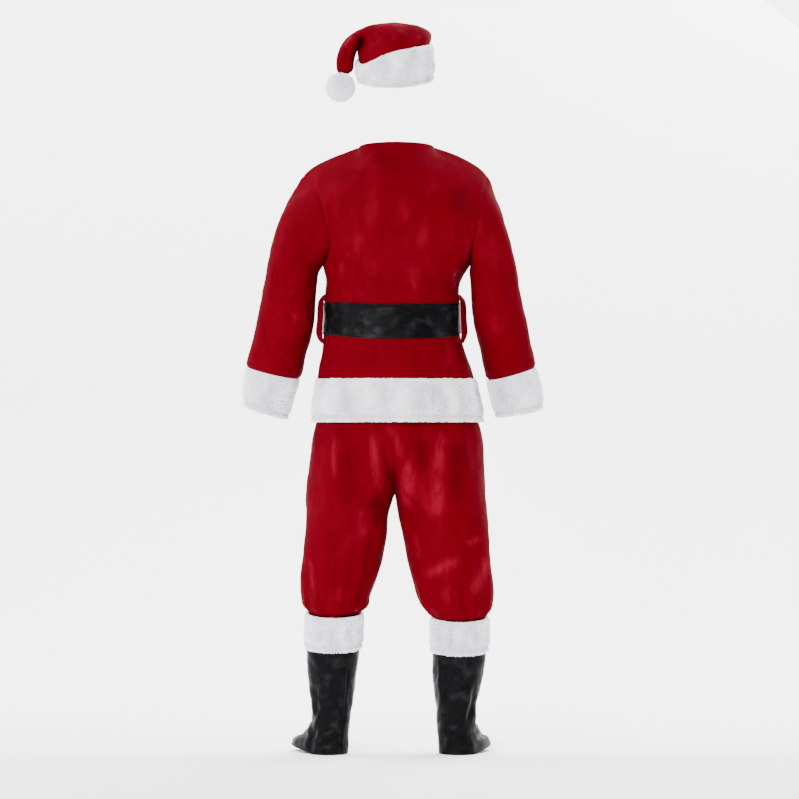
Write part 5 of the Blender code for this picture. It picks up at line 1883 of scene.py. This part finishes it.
def build_stage(settings):
    """Camera, soft lights, pale world, and a floor that curves up into a backdrop.

    The floor is a profile carried across: level, then a quarter circle, then upright.
    """
    scene = bpy.context.scene
    floor_z = -1.4785
    bend = 0.9
    back_y = -3.2
    near_y = 14.0
    top = 5.5
    half_width = 9.0
    turn = np.linspace(0, math.pi / 2, 17)
    profile_y = np.concatenate([[near_y, 3.0], back_y + bend - bend * np.sin(turn), [back_y]])
    profile_z = np.concatenate([[0, 0], bend - bend * np.cos(turn), [top]]) + floor_z
    across = np.linspace(-half_width, half_width, 3)
    points = np.stack([
        np.repeat(across[:, None], len(profile_y), axis=1),
        np.repeat(profile_y[None], len(across), axis=0),
        np.repeat(profile_z[None], len(across), axis=0),
    ], axis=-1)
    quads = quads_between(point_numbers(*points.shape[:2])).reshape(-1, 4)
    mesh = bpy.data.meshes.new("stage_floor")
    mesh.from_pydata(points.reshape(-1, 3).tolist(), [], quads.tolist())
    mesh.shade_smooth()
    look, shader = new_look("stage", 0.85)
    shader.inputs["Base Color"].default_value = settings.floor_colour
    see_through_back(look, shader)
    mesh.materials.append(look)
    floor = bpy.data.objects.new("stage_floor", mesh)
    scene.collection.objects.link(floor)

    camera_data = bpy.data.cameras.new("camera")
    camera_data.sensor_width = 36.0
    camera_data.lens = 165.5
    camera = bpy.data.objects.new("camera", camera_data)
    camera.location = (-0.0135, settings.camera_distance, -0.611)
    camera.rotation_euler = (math.pi / 2, 0, math.pi)
    scene.collection.objects.link(camera)
    scene.camera = camera

    # Name, place, point that it faces, side of its square, share of the light's power
    lights = (
        ("soft_key", (1.8, 5.4, 1.6), (0, 0, -0.6), 2.2, 1.70),
        ("soft_left", (4.4, 2.6, 0.0), (0, 0, -0.8), 1.6, 0.30),
        ("soft_right", (-4.2, 1.6, 0.6), (0, 0, -0.8), 1.6, 0.20),
        ("soft_front", (-1.4, -2.8, 1.2), (0, 0, -0.6), 2.0, 0.42),
        ("backdrop_left", (2.2, -1.0, 2.6), (1.4, -3.2, -0.6), 2.0, 0.95),
        ("backdrop_right", (-2.2, -1.0, 2.6), (-1.4, -3.2, -0.6), 2.0, 0.95),
    )
    for name, place, target, size, part in lights:
        data = bpy.data.lights.new(name, "AREA")
        data.shape = "SQUARE"
        data.size = size
        data.energy = settings.light_power * part
        lamp = bpy.data.objects.new(name, data)
        lamp.location = place
        way = np.array(target) - np.array(place)
        lamp.rotation_euler = (
            math.acos(-way[2] / np.linalg.norm(way)), 0, math.atan2(way[1], way[0]) - math.pi / 2)
        scene.collection.objects.link(lamp)

    world = bpy.data.worlds.new("pale_room")
    world.use_nodes = True
    ground = world.node_tree.nodes["Background"]
    ground.inputs["Color"].default_value = (1.0, 1.0, 1.0, 1)
    seen = add_node(world.node_tree, "ShaderNodeLightPath").outputs["Is Camera Ray"]
    strength = add_node(world.node_tree, "ShaderNodeMapRange", {
        "Value": seen, "To Min": 0.42, "To Max": 1.25})
    world.node_tree.links.new(strength.outputs["Result"], ground.inputs["Strength"])
    scene.world = world


# Operators, panel and main function

class SANTA_SUIT_OT_stage(bpy.types.Operator):
    """Set up the floor, the lights and the camera"""

    bl_idname = "santa_suit.stage"
    bl_label = "Stage"

    def execute(self, context):
        build_stage(context.scene.santa_suit)
        return {"FINISHED"}


class SANTA_SUIT_OT_hat(bpy.types.Operator):
    """Build the hat with its plush band and pompom"""

    bl_idname = "santa_suit.hat"
    bl_label = "Hat"

    def execute(self, context):
        build_hat(context.scene.santa_suit, all_looks(context.scene.santa_suit))
        return {"FINISHED"}


class SANTA_SUIT_OT_jacket(bpy.types.Operator):
    """Build the jacket with its sleeves, cuffs and plush hem"""

    bl_idname = "santa_suit.jacket"
    bl_label = "Jacket"

    def execute(self, context):
        build_jacket(context.scene.santa_suit, all_looks(context.scene.santa_suit))
        return {"FINISHED"}


class SANTA_SUIT_OT_belt(bpy.types.Operator):
    """Build the belt with its buckle, prong and loops"""

    bl_idname = "santa_suit.belt"
    bl_label = "Belt"

    def execute(self, context):
        build_belt(all_looks(context.scene.santa_suit))
        return {"FINISHED"}


class SANTA_SUIT_OT_trousers(bpy.types.Operator):
    """Build the trousers, gathered into the boot covers"""

    bl_idname = "santa_suit.trousers"
    bl_label = "Trousers"

    def execute(self, context):
        build_trousers(context.scene.santa_suit, all_looks(context.scene.santa_suit))
        return {"FINISHED"}


class SANTA_SUIT_OT_boot_covers(bpy.types.Operator):
    """Build the boot covers with their plush tops"""

    bl_idname = "santa_suit.boot_covers"
    bl_label = "Boot covers"

    def execute(self, context):
        build_boot_covers(context.scene.santa_suit, all_looks(context.scene.santa_suit))
        return {"FINISHED"}


class SANTA_SUIT_PT_sidebar(bpy.types.Panel):
    """The suit's pieces and settings"""

    bl_label = "Santa Suit"
    bl_idname = "SANTA_SUIT_PT_sidebar"
    bl_space_type = "VIEW_3D"
    bl_region_type = "UI"
    bl_category = "Santa Suit"

    def draw(self, context):
        for operator in OPERATORS:
            self.layout.operator(operator.bl_idname)
        for name in SuitSettings.__annotations__:
            self.layout.prop(context.scene.santa_suit, name)


OPERATORS = (
    SANTA_SUIT_OT_stage,
    SANTA_SUIT_OT_hat,
    SANTA_SUIT_OT_jacket,
    SANTA_SUIT_OT_belt,
    SANTA_SUIT_OT_trousers,
    SANTA_SUIT_OT_boot_covers,
)


def register():
    """Register the settings, the operators and the panel."""
    for item in (SuitSettings,) + OPERATORS + (SANTA_SUIT_PT_sidebar,):
        bpy.utils.register_class(item)
    bpy.types.Scene.santa_suit = PointerProperty(type=SuitSettings)


def unregister():
    """Take them away again, in reverse order."""
    del bpy.types.Scene.santa_suit
    for item in (SANTA_SUIT_PT_sidebar,) + OPERATORS[::-1] + (SuitSettings,):
        bpy.utils.unregister_class(item)


def main():
    """Build the stage and the whole suit."""
    register()
    bpy.ops.santa_suit.stage()
    bpy.ops.santa_suit.belt()
    bpy.ops.santa_suit.jacket()
    bpy.ops.santa_suit.trousers()
    bpy.ops.santa_suit.boot_covers()
    bpy.ops.santa_suit.hat()


if __name__ == "__main__":
    main()
